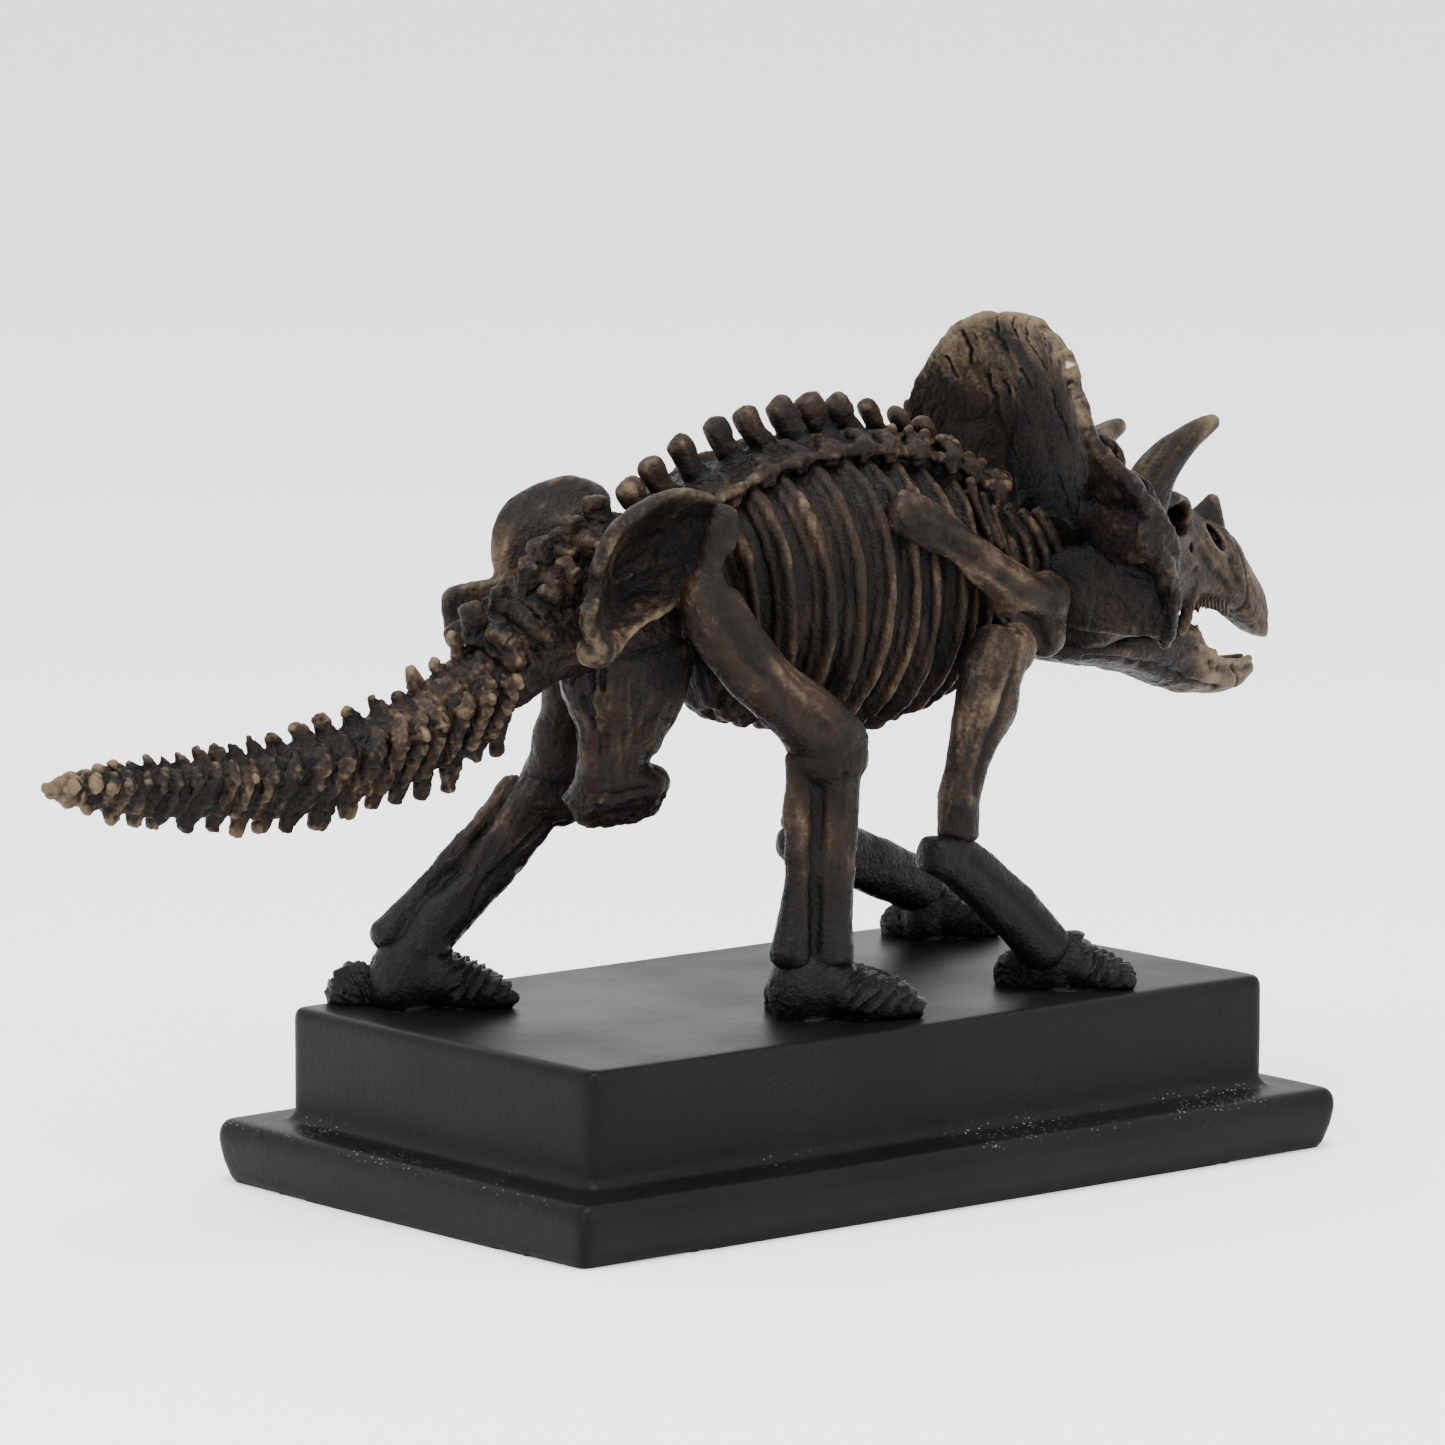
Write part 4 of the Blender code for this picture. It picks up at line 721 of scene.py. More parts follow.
def ilium_clay(side):
    x, y, z = HIP_CENTRE
    rim = np.array(HIP_RIM, float)
    if side == LEFT:
        rim[rim[:, 0] > HIP_FRONT, 0] -= LEFT_HIP_SHORT
    rim = periodic(rim, 6)
    bowl = (
        (0.3, -6.4), (0.72, -3.6), (0.96, -1.6), (1.0, 0.2), (0.95, 1.5), (0.86, 1.3), (0.72, -0.6),
        (0.5, -2.6), (0.3, -3.7), (0.05, -4.1),
    )
    rings = []
    for share, out in spline(bowl, 4):
        ring = np.array([x + 1.6 * (1 - share), y, z - 1.0 * (1 - share)]) + (rim - [x, y, z]) * share
        ring[:, 1] = (y + (rim[:, 1] - y) * share + out) * side
        rings.append(ring)
    clay = Clay()
    clay.loft(rings)
    clay.rod(((-48.6, side * 14.6, 92.6, 2.6, 2.0), (-52.6, side * 16.6, 91.0, 3.0, 2.4), (-54.0, side * 17.6, 92.2, 2.6, 2.2)), sides=20)
    return clay


def make_hips():
    def shattered(points):
        return 0.26 * np.round(1.6 * layered(points, 3.2, 3, 42)) - 0.3 * smoothstep(0.2, 0.6, noise(points / 1.5, 44))
    cast_bone("sacrum", sacrum_clay(), along=(-0.8, 0.0, -0.5), voxel=0.33, soft=1, seed=41, extra=shattered, dent=0.3, streak=0.1)
    for side, word in SIDES.items():
        def slot(points, side=side):
            deep = furrow(points, ((-29.4, side * 14.6, 110.8), (-30.8, side * 13.8, 106.8), (-32.4, side * 13.0, 103.0)), 1.3, 1.8)
            rim_wear = 0.25 * layered(points, 2.6, 2, 46) * smoothstep(5.0, 9.0, np.abs(points[:, 0] + 38.0))
            inner = smoothstep(HIP_CENTRE[1] - 0.5, HIP_CENTRE[1] - 3.5, points[:, 1] * side)
            return deep + rim_wear + 0.7 * inner * layered(stretched(points, (0.8, 0.0, 0.35), 9.0, 2.2), 1.0, 2, 48)
        cast_bone(
            f"ilium_{word}", ilium_clay(side), along=(0.5, 0.0, 0.86), soft=5, seed=43 + side,
            extra=slot, dent=0.18, streak=0.05,
        )
    clay = Clay()
    foot = (
        (89.0, -33.0, 12.2, 8.8), (82.0, -33.8, 11.4, 7.8), (76.0, -34.6, 8.4, 6.3), (71.4, -36.2, 6.2, 4.9),
        (68.6, -36.0, 6.9, 5.4), (66.6, -35.6, 9.0, 6.8), (65.0, -35.4, 9.7, 6.9), (61.4, -35.2, 7.8, 4.4),
    )
    clay.rod([(x, 0.0, z, wide, long) for z, x, long, wide in foot], sides=40, cap=0.3)
    clay.ball((-35.5, 0.0, 92.6), (10.5, 11.0, 7.0), sides=28)

    def boot(points):
        rough = smoothstep(66.4, 64.4, points[:, 2])
        rear = smoothstep(-36.5, -41.5, points[:, 0] - 0.3 * points[:, 1]) * smoothstep(69.0, 74.0, points[:, 2])
        top = smoothstep(86.0, 91.0, points[:, 2])
        pits = smoothstep(0.0, 0.6, noise(stretched(points, (0.15, 0.1, 1.0), 4.4, 1.2), 77))
        edge = furrow(points, ((-38.2, -6.4, 90.0), (-39.0, -5.0, 82.0), (-39.4, -3.6, 75.0)), 0.7, 0.8)
        brow = furrow(points, ((-44.0, -3.0, 67.4), (-40.0, -5.6, 67.0), (-34.0, -6.6, 67.4)), 0.6, 0.5)
        return rough * (0.4 * layered(points, 1.5, 2, 51) - 0.2) - 0.8 * rear * pits + edge + brow + 0.6 * top * layered(points, 2.6, 3, 53)
    cast_bone("pubis", clay, along=(0.1, 0.0, 1.0), soft=3, seed=47, extra=boot, dent=0.34, streak=0.14)


def tail_size(x):
    xs = [-v for v in TAIL_X]
    return np.interp(-x, xs, TAIL_TOP), np.interp(-x, xs, TAIL_BOTTOM), np.interp(-x, xs, TAIL_HALF_WIDTH)


def tail_clay(number):
    start, end = TAIL_SPANS[number]
    last = number == len(TAIL_SPANS) - 1
    clay = Clay()
    rings = []
    for x in np.linspace(start + 0.3, end - (0.0 if last else 0.3), 40):
        top, low, wide = tail_size(x)
        tall = top - low
        high, deep = top - 0.2 * tall, low + 0.18 * tall
        wide = 0.8 * wide
        ridge = deep + (high - deep) * 0.62
        half = [(0.3, high), (0.72, (high + 0.6 * ridge) / 1.6), (1.0, ridge), (0.7, (ridge + deep) / 2), (0.34, deep)]
        rings.append([(x, wide * s, z) for s, z in half] + [(x, -wide * s, z) for s, z in reversed(half)])
    clay.loft(rings)
    pitches = np.abs(np.gradient(np.array([x for x, _ in TAIL_SPINE])))
    for (x, z), pitch in zip(TAIL_SPINE, pitches):
        if not end < x < start:
            continue
        top, low, wide = tail_size(x)
        tall = top - low
        base = 0.5 * pitch
        rows = (
            (x + 1.3 * base, 0.0, top - 0.34 * tall, 0.75 * base, 1.15 * base),
            (x + 0.75 * base, 0.0, top - 0.17 * tall, 0.55 * base, 0.86 * base),
            (x, 0.0, z - 0.35, 0.3 * base, 0.36 * base),
        )
        clay.rod(rows, sides=12, cap=0.5)
        core = low + 0.18 * tall
        ridge = core + tall * 0.62 * 0.62
        for side in (LEFT, RIGHT):
            slant = (
                (x + 1.5 * base, side * wide * 0.34, ridge + 0.17 * tall, 0.72 * base, 0.7 * base),
                (x + 0.9 * base, side * wide * 0.78, ridge + 0.07 * tall, 0.8 * base, 0.66 * base),
                (x + 0.3 * base, side * (wide + 0.2), ridge + 0.01 * tall, 0.7 * base, 0.5 * base),
            )
            clay.rod(slant, sides=12, across=(0.8, 0.0, 0.6), cap=0.5, square=0.7)
            lower = (
                (x + 0.5 * base, side * wide * 0.8, ridge - 0.02 * tall, 0.66 * base, 0.35 * wide),
                (x + 0.2 * base, side * wide * 0.5, ridge - 0.22 * tall, 0.6 * base, 0.3 * wide),
                (x + 0.1 * base, side * wide * 0.26, core + 0.02 * tall, 0.5 * base, 0.22 * wide),
            )
            clay.rod(lower, sides=12, across=(1.0, 0.0, 0.0), cap=0.5)
    pitches = np.abs(np.gradient(np.array([x for x, _ in TAIL_CHEVRON])))
    for (x, z), pitch in zip(TAIL_CHEVRON, pitches):
        if not end < x < start:
            continue
        top, low, wide = tail_size(x)
        tall = top - low
        base = 0.42 * pitch
        rows = (
            (x + 0.9 * base, 0.0, low + 0.36 * tall, 0.8 * base, 1.1 * base),
            (x + 0.4 * base, 0.0, low + 0.18 * tall, 0.6 * base, 0.86 * base),
            (x, 0.0, z + 0.3, 0.42 * base, 0.6 * base),
        )
        clay.rod(rows, sides=12, cap=0.5, square=0.8)
    if last:
        clay.rod(((end + 6.0, 0.0, 76.0, 1.6, 1.9), (end + 2.0, 0.0, 76.2, 1.0, 1.2), (TAIL_TIP[0] + 0.4, 0.0, TAIL_TIP[2], 0.5, 0.6)), sides=14)
    return clay


def make_tail():
    for number in range(len(TAIL_SPANS)):
        def broken(points, number=number):
            return 0.28 * np.round(1.4 * layered(points, 2.4, 2, 64 + number)) - 0.3 * smoothstep(0.35, 0.8, noise(points / 1.2, 67))
        cast_bone(
            f"tail_{number + 1}", tail_clay(number), along=(0.35, 0.0, -0.9), voxel=0.31, soft=1,
            seed=61 + number, extra=broken, dent=0.2, streak=0.14, pit=0.16,
        )


def skull_rings():
    section = spline(SKULL_SECTION, 5)
    across, up = section[:, 0], section[:, 1]
    across[across < 0] = 0
    rings = []
    for x, middle, wide, high in spline(SKULL, 6):
        half = np.stack([np.full(len(across), x), wide * across, middle + high * up], 1)
        rings.append(np.vstack([half, (half * [1, -1, 1])[-2:0:-1]]))
    return rings


def skull_clay():
    clay = Clay()
    clay.loft(skull_rings())
    for side in (LEFT, RIGHT):
        x, y, z = EYE_AT
        brow = ((x - 7.4, side * (y + 1.4), z + 2.8, 2.4, 2.0), (x - 2.0, side * (y + 0.4), z + 3.6, 2.2, 1.5), (x + 3.0, side * (y - 1.2), z + 2.2, 1.7, 1.3), (x + 4.6, side * (y - 2.2), z - 0.6, 1.4, 1.2))
        clay.rod(brow, sides=16)
        under = ((x - 5.0, side * (y + 2.6), z - 3.6, 1.7, 1.6), (x, side * (y + 0.8), z - 4.2, 1.6, 1.5), (x + 4.4, side * (y - 1.4), z - 3.0, 1.4, 1.4))
        clay.rod(under, sides=16)
        clay.rod(on_side(CHEEK_HORN, side), sides=20)
        bar = ((86.4, side * 6.2, 93.6, 1.2, 0.9), (84.4, side * 7.4, 89.6, 1.1, 0.9), (82.4, side * 8.2, 85.4, 1.1, 1.0), (81.0, side * 8.0, 82.6, 1.0, 1.0))
        clay.rod(bar, sides=12)
        cheek = ((84.0, side * 7.2, 94.6, 1.6, 1.4), (79.0, side * 9.2, 92.6, 2.0, 1.7), (72.0, side * 12.0, 89.6, 2.6, 2.2))
        clay.rod(cheek, sides=14, across=(0.0, 0.0, 1.0))
        for number in range(9):
            tooth_x = 87.2 + 1.12 * number
            tooth_y = side * (5.3 - 0.2 * number)
            lip = np.interp(tooth_x, (87.0, 93.4, 95.8, 100.0), (86.4, 84.9, 83.9, 82.2))
            tooth = ((tooth_x, tooth_y, lip + 3.2, 0.42, 0.7), (tooth_x - 0.1, tooth_y, lip + 1.0, 0.4, 0.6), (tooth_x - 0.2, tooth_y, lip - 0.1, 0.26, 0.4))
            clay.rod(tooth, sides=8)
    return clay


def bite(points, centre, radii):
    """How deep a point lies in an oval hole, 0 at its edge."""
    far = np.linalg.norm((points - centre) / radii, axis=1)
    return far


def push_hole(piece, centre, radii, turn=0.0):
    """Press an oval hole straight in towards the middle of the head."""
    mesh = piece.data
    points = points_of(mesh)
    side = math.copysign(1.0, centre[1])
    cos, sin = math.cos(turn), math.sin(turn)
    flat_x = (points[:, 0] - centre[0]) * cos + (points[:, 2] - centre[2]) * sin
    flat_z = -(points[:, 0] - centre[0]) * sin + (points[:, 2] - centre[2]) * cos
    far = np.hypot(flat_x / radii[0], flat_z / radii[2])
    near = (points[:, 1] * side > abs(centre[1]) - radii[1] - 1.5)
    depth = radii[1] * smoothstep(1.12, 0.72, far)
    points[:, 1] -= side * depth * near
    set_points(mesh, points)


def make_skull():
    piece = fused(skull_clay(), "skull_cast", 0.3)
    soften(piece, 4)
    for side in (LEFT, RIGHT):
        x, y, z = EYE_AT
        push_hole(piece, (x + 0.3, side * (y + 1.4), z), (3.4, 5.2, 2.9), 0.15)
        x, y, z = NOSTRIL_AT
        push_hole(piece, (x, side * y, z), (2.8, 3.2, 1.25), math.radians(-50.0))
        push_hole(piece, (83.2, side * 8.0, 97.0), (0.9, 1.2, 0.8))
    soften(piece, 1)
    points = points_of(piece.data)
    heights, fibres = bone_grain(points, (0.6, 0.0, -0.7), 71, dent=0.26, streak=0.05, pit=0.14)
    flat = points[:, [0, 2]] + 0.3 * noise(points / 2.0, 73)[:, None]
    heights += groove(flat, ((97.6, 98.6), (98.8, 94.0), (100.0, 89.6), (99.2, 84.6)), 0.5, 0.35)
    heights += groove(flat, ((86.8, 96.0), (89.6, 92.6), (94.0, 90.0)), 1.3, 0.6)
    heights += groove(flat, ((95.0, 93.6), (97.0, 90.6)), 0.9, 0.5)
    heights += groove(flat, ((76.0, 90.0), (80.4, 92.4), (84.4, 93.4)), 0.5, 0.4)
    for number in range(9):
        x = 87.4 + 1.05 * number
        lip = np.interp(x, (87.0, 93.4, 95.8, 100.0), (86.4, 84.9, 83.9, 82.2))
        heights += groove(points[:, [0, 2]], ((x, lip - 0.4), (x - 0.3, lip + 2.4)), 0.26, 0.5)
    carve(piece, heights + 0.08)
    add_field(piece.data, "fibre", fibres)
    place(piece, ["skull"])


def frill_rings():
    half = spline(FRILL_RIM, 6)
    rims = np.vstack([(half * [1, -1, 1])[:0:-1], half])
    centre = np.array(FRILL_CENTRE)
    shares = np.concatenate([np.linspace(0.1, 0.9, 18), [0.94, 0.97, 0.99, 1.0]])
    halves = np.interp(shares, [s for s, _ in FRILL_LEAF], [h for _, h in FRILL_LEAF])
    halves[-4:] = (1.42, 1.3, 1.05, 0.55)
    rings = []
    for rim in rims:
        out = rim - centre
        reach = np.linalg.norm(out)
        out = out / reach
        ahead = np.array([1.0, 0.0, 0.25])
        ahead = unit(ahead - out * (ahead @ out))
        line = centre + out * reach * shares[:, None] + ahead * FRILL_BULGE * np.sin(np.pi * shares)[:, None]
        front, back = line + ahead * halves[:, None], line - ahead * halves[:, None]
        rings.append(np.vstack([front, back[::-1]]))
    return rings


def make_frill():
    clay = Clay()
    clay.loft(frill_rings())
    clay.ball((62.0, 0.0, 98.0), (6.0, 9.0, 8.0), sides=28)
    for side in (LEFT, RIGHT):
        # The cheek's sheet runs from the neck out to the shield's border and down to a spur, and
        # above it a panel carries on up the shield's rear face.
        clay.rod(((50.0, side * 5.0, 92.6, 6.0, 2.4), (56.4, side * 11.0, 92.6, 7.2, 2.8), (62.0, side * 16.6, 92.4, 8.0, 2.6), (66.0, side * 20.4, 91.6, 7.4, 1.8)), sides=32, steps=6, across=(0.0, 0.0, 1.0))
        clay.rod(((58.8, side * 7.0, 103.0, 5.0, 2.0), (58.2, side * 12.6, 104.6, 7.4, 2.2), (58.4, side * 18.4, 105.0, 8.0, 2.2), (58.8, side * 24.0, 104.0, 6.6, 1.8)), sides=32, steps=6, across=(0.0, 0.0, 1.0))
        clay.rod(((56.0, side * 11.0, 113.6, 4.0, 1.2), (55.4, side * 16.6, 113.4, 5.6, 1.6), (53.4, side * 22.6, 113.0, 4.4, 1.3)), sides=28, steps=6, across=(0.0, 0.0, 1.0))
        clay.rod(((60.0, side * 24.6, 100.4, 2.4, 1.8), (64.4, side * 23.2, 93.6, 2.3, 1.8), (66.6, side * 20.6, 86.8, 1.9, 1.6), (67.4, side * 18.6, 82.8, 1.1, 1.0)), sides=20, steps=6)
        clay.ball((59.0, side * 24.8, 103.6), (3.0, 2.2, 5.0), sides=20)
    piece = fused(clay, "frill_cast", 0.36)
    soften(piece, 5)
    points = points_of(piece.data)
    centre = np.array(FRILL_CENTRE)
    y, z = points[:, 1], points[:, 2] - centre[2]
    radius = np.hypot(y, z)
    angle = np.arctan2(y, z)
    rim = spline(FRILL_RIM, 6)
    rim_angle = np.arctan2(rim[:, 1], rim[:, 2] - centre[2])
    rim_radius = np.hypot(rim[:, 1], rim[:, 2] - centre[2])
    inset = np.interp(np.abs(angle), rim_angle, rim_radius) - radius
    rear = smoothstep(0.2, -0.4, normals_of(piece.data)[:, 0])
    polar = np.stack([angle * 26.0, radius * 0.22, points[:, 0] * 0.2], 1)
    fibres = noise(polar / 1.1, 81) + 0.6 * noise(polar / 0.6, 84)
    height = 0.3 * layered(points, 6.0, 2, 82) + 0.05 * fibres + 0.14
    # Worn flakes along the upper rim: a stepped noise, as of layers that came away.
    crown = smoothstep(10.0, 2.5, inset) * smoothstep(116.0, 126.0, points[:, 2])
    steps = 2.4 * layered(points * [1.0, 1.0, 0.7], 4.4, 3, 86)
    height += 0.4 * crown * np.floor(steps) / 2.0
    flank = smoothstep(6.0, 1.0, inset) * smoothstep(124.0, 116.0, points[:, 2])
    height += 0.4 * flank * np.floor(2.2 * layered(stretched(points, (0.4, 0.5, -0.76), 4.0, 1.6), 1.0, 3, 88)) / 2.0
    panel = smoothstep(113.0, 108.0, points[:, 2]) * smoothstep(9.0, 13.0, np.abs(y)) * rear
    height += 0.2 * panel * np.round(1.6 * layered(stretched(points, (0.3, 0.5, -0.8), 11.0, 4.0), 1.0, 2, 89))
    # The rolled border stands over a shallow trough, and the rear face is dished.
    trough = np.exp(-(((inset - 3.6) / 0.9) ** 2)) * smoothstep(124.0, 116.0, points[:, 2]) * smoothstep(100.0, 104.0, points[:, 2])
    height -= 0.7 * trough * rear
    height -= 0.8 * rear * np.exp(-(((np.abs(y) - 6.0) / 5.0) ** 2)) * smoothstep(128.0, 118.0, points[:, 2])
    # A long upright crease on each side of the middle, and fine cracks over the whole rear face.
    crease = np.exp(-(((np.abs(y) - 7.8 + 0.8 * noise(points / 6.0, 91)) / 0.55) ** 2))
    height -= 0.5 * rear * crease * smoothstep(127.0, 122.0, points[:, 2]) * smoothstep(97.0, 100.0, points[:, 2])
    fine = np.abs(noise(stretched(points, (0.2, 0.3, -0.93), 5.0, 2.0), 92))
    height -= 0.22 * rear * smoothstep(0.07, 0.0, fine)
    for number, line in enumerate(FRILL_CRACKS):
        flat = points[:, [1, 2]].copy()
        flat[:, 0] += 0.45 * noise(points / 1.3, 90 + number)
        taper = 0.19 + 0.08 * noise(points / 2.0, 120 + number)
        height += rear * -0.65 * np.exp(-((distance_to_line(flat, line) / taper) ** 2))
    for side in (LEFT, RIGHT):
        ledge = ((47.6, side * 7.0, 98.4), (54.0, side * 13.6, 98.6), (60.0, side * 20.0, 98.0), (63.0, side * 24.4, 97.4))
        height += furrow(points + 0.5 * noise(points / 2.2, 97)[:, None], ledge, 0.8, 0.9)
        for low, start in ((95.0, 54.0), (91.4, 57.0), (88.0, 60.0)):
            crack = ((start, side * 9.0, low), (start + 3.6, side * 13.0, low - 1.6), (start + 6.4, side * 17.4, low + 0.4))
            height += furrow(points + 0.7 * noise(points / 2.4, int(start))[:, None], crack, 0.32, 0.5)
        height += furrow(points, ((63.6, side * 18.6, 95.0), (64.8, side * 18.8, 90.0), (65.6, side * 17.8, 85.4)), 0.6, 0.9)
        height += furrow(points + 0.5 * noise(points / 2.2, 98)[:, None], ((53.0, side * 13.0, 110.0), (56.4, side * 17.4, 106.0), (58.6, side * 21.0, 103.0)), 0.5, 0.6)
    chips = smoothstep(0.3, 0.7, noise(np.stack([angle * 8.0, radius * 0.0, angle * 0.0], 1), 95))
    edge = smoothstep(1.6, 0.2, inset) * chips * smoothstep(112.0, 122.0, points[:, 2])
    points[:, 1] -= 0.8 * edge * np.sin(angle)
    points[:, 2] -= 0.8 * edge * np.cos(angle)
    set_points(piece.data, points)
    carve(piece, height)
    soften(piece, 1, 0.2)
    add_field(piece.data, "fibre", fibres)
    place(piece, ["frill"])


def horn_rows(stations, side, drop=0.0):
    count = len(stations) - 1
    return [
        (x + 0.3 * drop * i / count, side * y, z - drop * i / count, r, r)
        for i, (x, y, z, r) in enumerate(stations)
    ]


def make_horns():
    for side, word in SIDES.items():
        clay = Clay()
        clay.rod(horn_rows(BROW_HORN, side, LEFT_HORN_DROP if side == LEFT else 0.0), sides=28, cap=0.7)
        cast_bone(f"brow_horn_{word}", clay, along=(0.68, 0.0, 0.72), soft=3, seed=101 + side, dent=0.12, streak=0.1)
    clay = Clay()
    clay.rod(horn_rows(NOSE_HORN, LEFT), sides=28, cap=0.5)
    clay.rod(((90.6, 0.0, 98.2, 2.4, 2.4), (92.8, 0.0, 100.8, 1.9, 1.9), (95.2, 0.0, 103.4, 1.1, 1.1)), sides=20)
    cast_bone("nose_horn", clay, along=(0.2, 0.0, 1.0), voxel=0.3, soft=3, seed=105, dent=0.1, streak=0.06)


def make_jaw():
    clay = Clay()
    rows = (
        (53.4, 82.6, 4.0, 1.4), (57.0, 81.6, 6.8, 2.4), (62.0, 81.4, 8.4, 3.2), (70.0, 80.8, 8.8, 3.8),
        (78.0, 80.4, 8.4, 5.6), (84.0, 79.0, 7.6, 6.4), (87.0, 76.8, 6.8, 5.8), (89.2, 74.8, 6.0, 3.9),
        (91.6, 74.1, 5.4, 3.0), (96.4, 73.4, 4.2, 2.9), (100.8, 73.4, 3.0, 2.0), (104.6, 74.4, 1.3, 1.0),
    )
    clay.rod([(x, 0.0, z, wide, high) for x, z, wide, high in rows], sides=36, steps=6, cap=0.45)
    for side in (LEFT, RIGHT):
        lip = ((88.2, side * 5.6, 80.6, 0.9, 0.8), (90.6, side * 4.9, 77.8, 0.8, 0.8), (95.0, side * 3.8, 76.2, 0.8, 0.7), (100.0, side * 2.6, 75.4, 0.7, 0.7), (104.0, side * 1.0, 75.8, 0.6, 0.6))
        clay.rod(lip, sides=12)
        for number in range(6):
            x = 87.6 + 0.85 * number
            z = np.interp(x, (87.0, 90.6, 95.0), (83.0, 78.2, 76.6))
            clay.rod(((x, side * 4.9, z - 2.0, 0.5, 0.5), (x + 0.3, side * 4.8, z, 0.46, 0.45), (x + 0.5, side * 4.7, z + 0.9, 0.26, 0.3)), sides=8)

    def crack(points):
        flat = points[:, [0, 2]] + 0.3 * noise(points / 1.8, 113)[:, None]
        lines = groove(flat, ((60.0, 80.2), (68.0, 79.4), (76.0, 77.4), (84.0, 74.6), (90.0, 72.6), (94.0, 71.8)), 0.35, 0.7)
        lines += groove(flat, ((97.0, 75.4), (98.6, 73.4), (99.4, 71.6)), 0.3, 0.4)
        return lines + groove(flat, ((72.0, 84.0), (79.0, 82.6), (86.0, 79.6)), 1.0, 0.6)
    cast_bone("lower_jaw", clay, along=(1.0, 0.0, -0.2), voxel=0.3, soft=3, seed=111, extra=crack, dent=0.26, streak=0.08)


def make_neck():
    clay = Clay()
    clay.rod(((37.0, 0.0, 97.6, 7.6, 9.0), (48.0, 0.0, 96.6, 7.0, 8.0), (60.0, 0.0, 95.8, 7.6, 7.6)), sides=32)
    for number in range(4):
        x = 42.6 + 3.4 * number
        for side in (LEFT, RIGHT):
            rib = [(x + ahead, side * y, z, half * 0.8, deep) for ahead, y, z, half, deep in NECK_RIB]
            clay.rod(rib, sides=12, across=(1.0, 0.0, 0.0))
    cast_bone("neck", clay, along=(0.0, 0.0, 1.0), soft=3, seed=121, dent=0.3, streak=0.1)


def leg_direction(rows):
    rows = np.asarray(rows)
    return rows[-1, :3] - rows[0, :3]


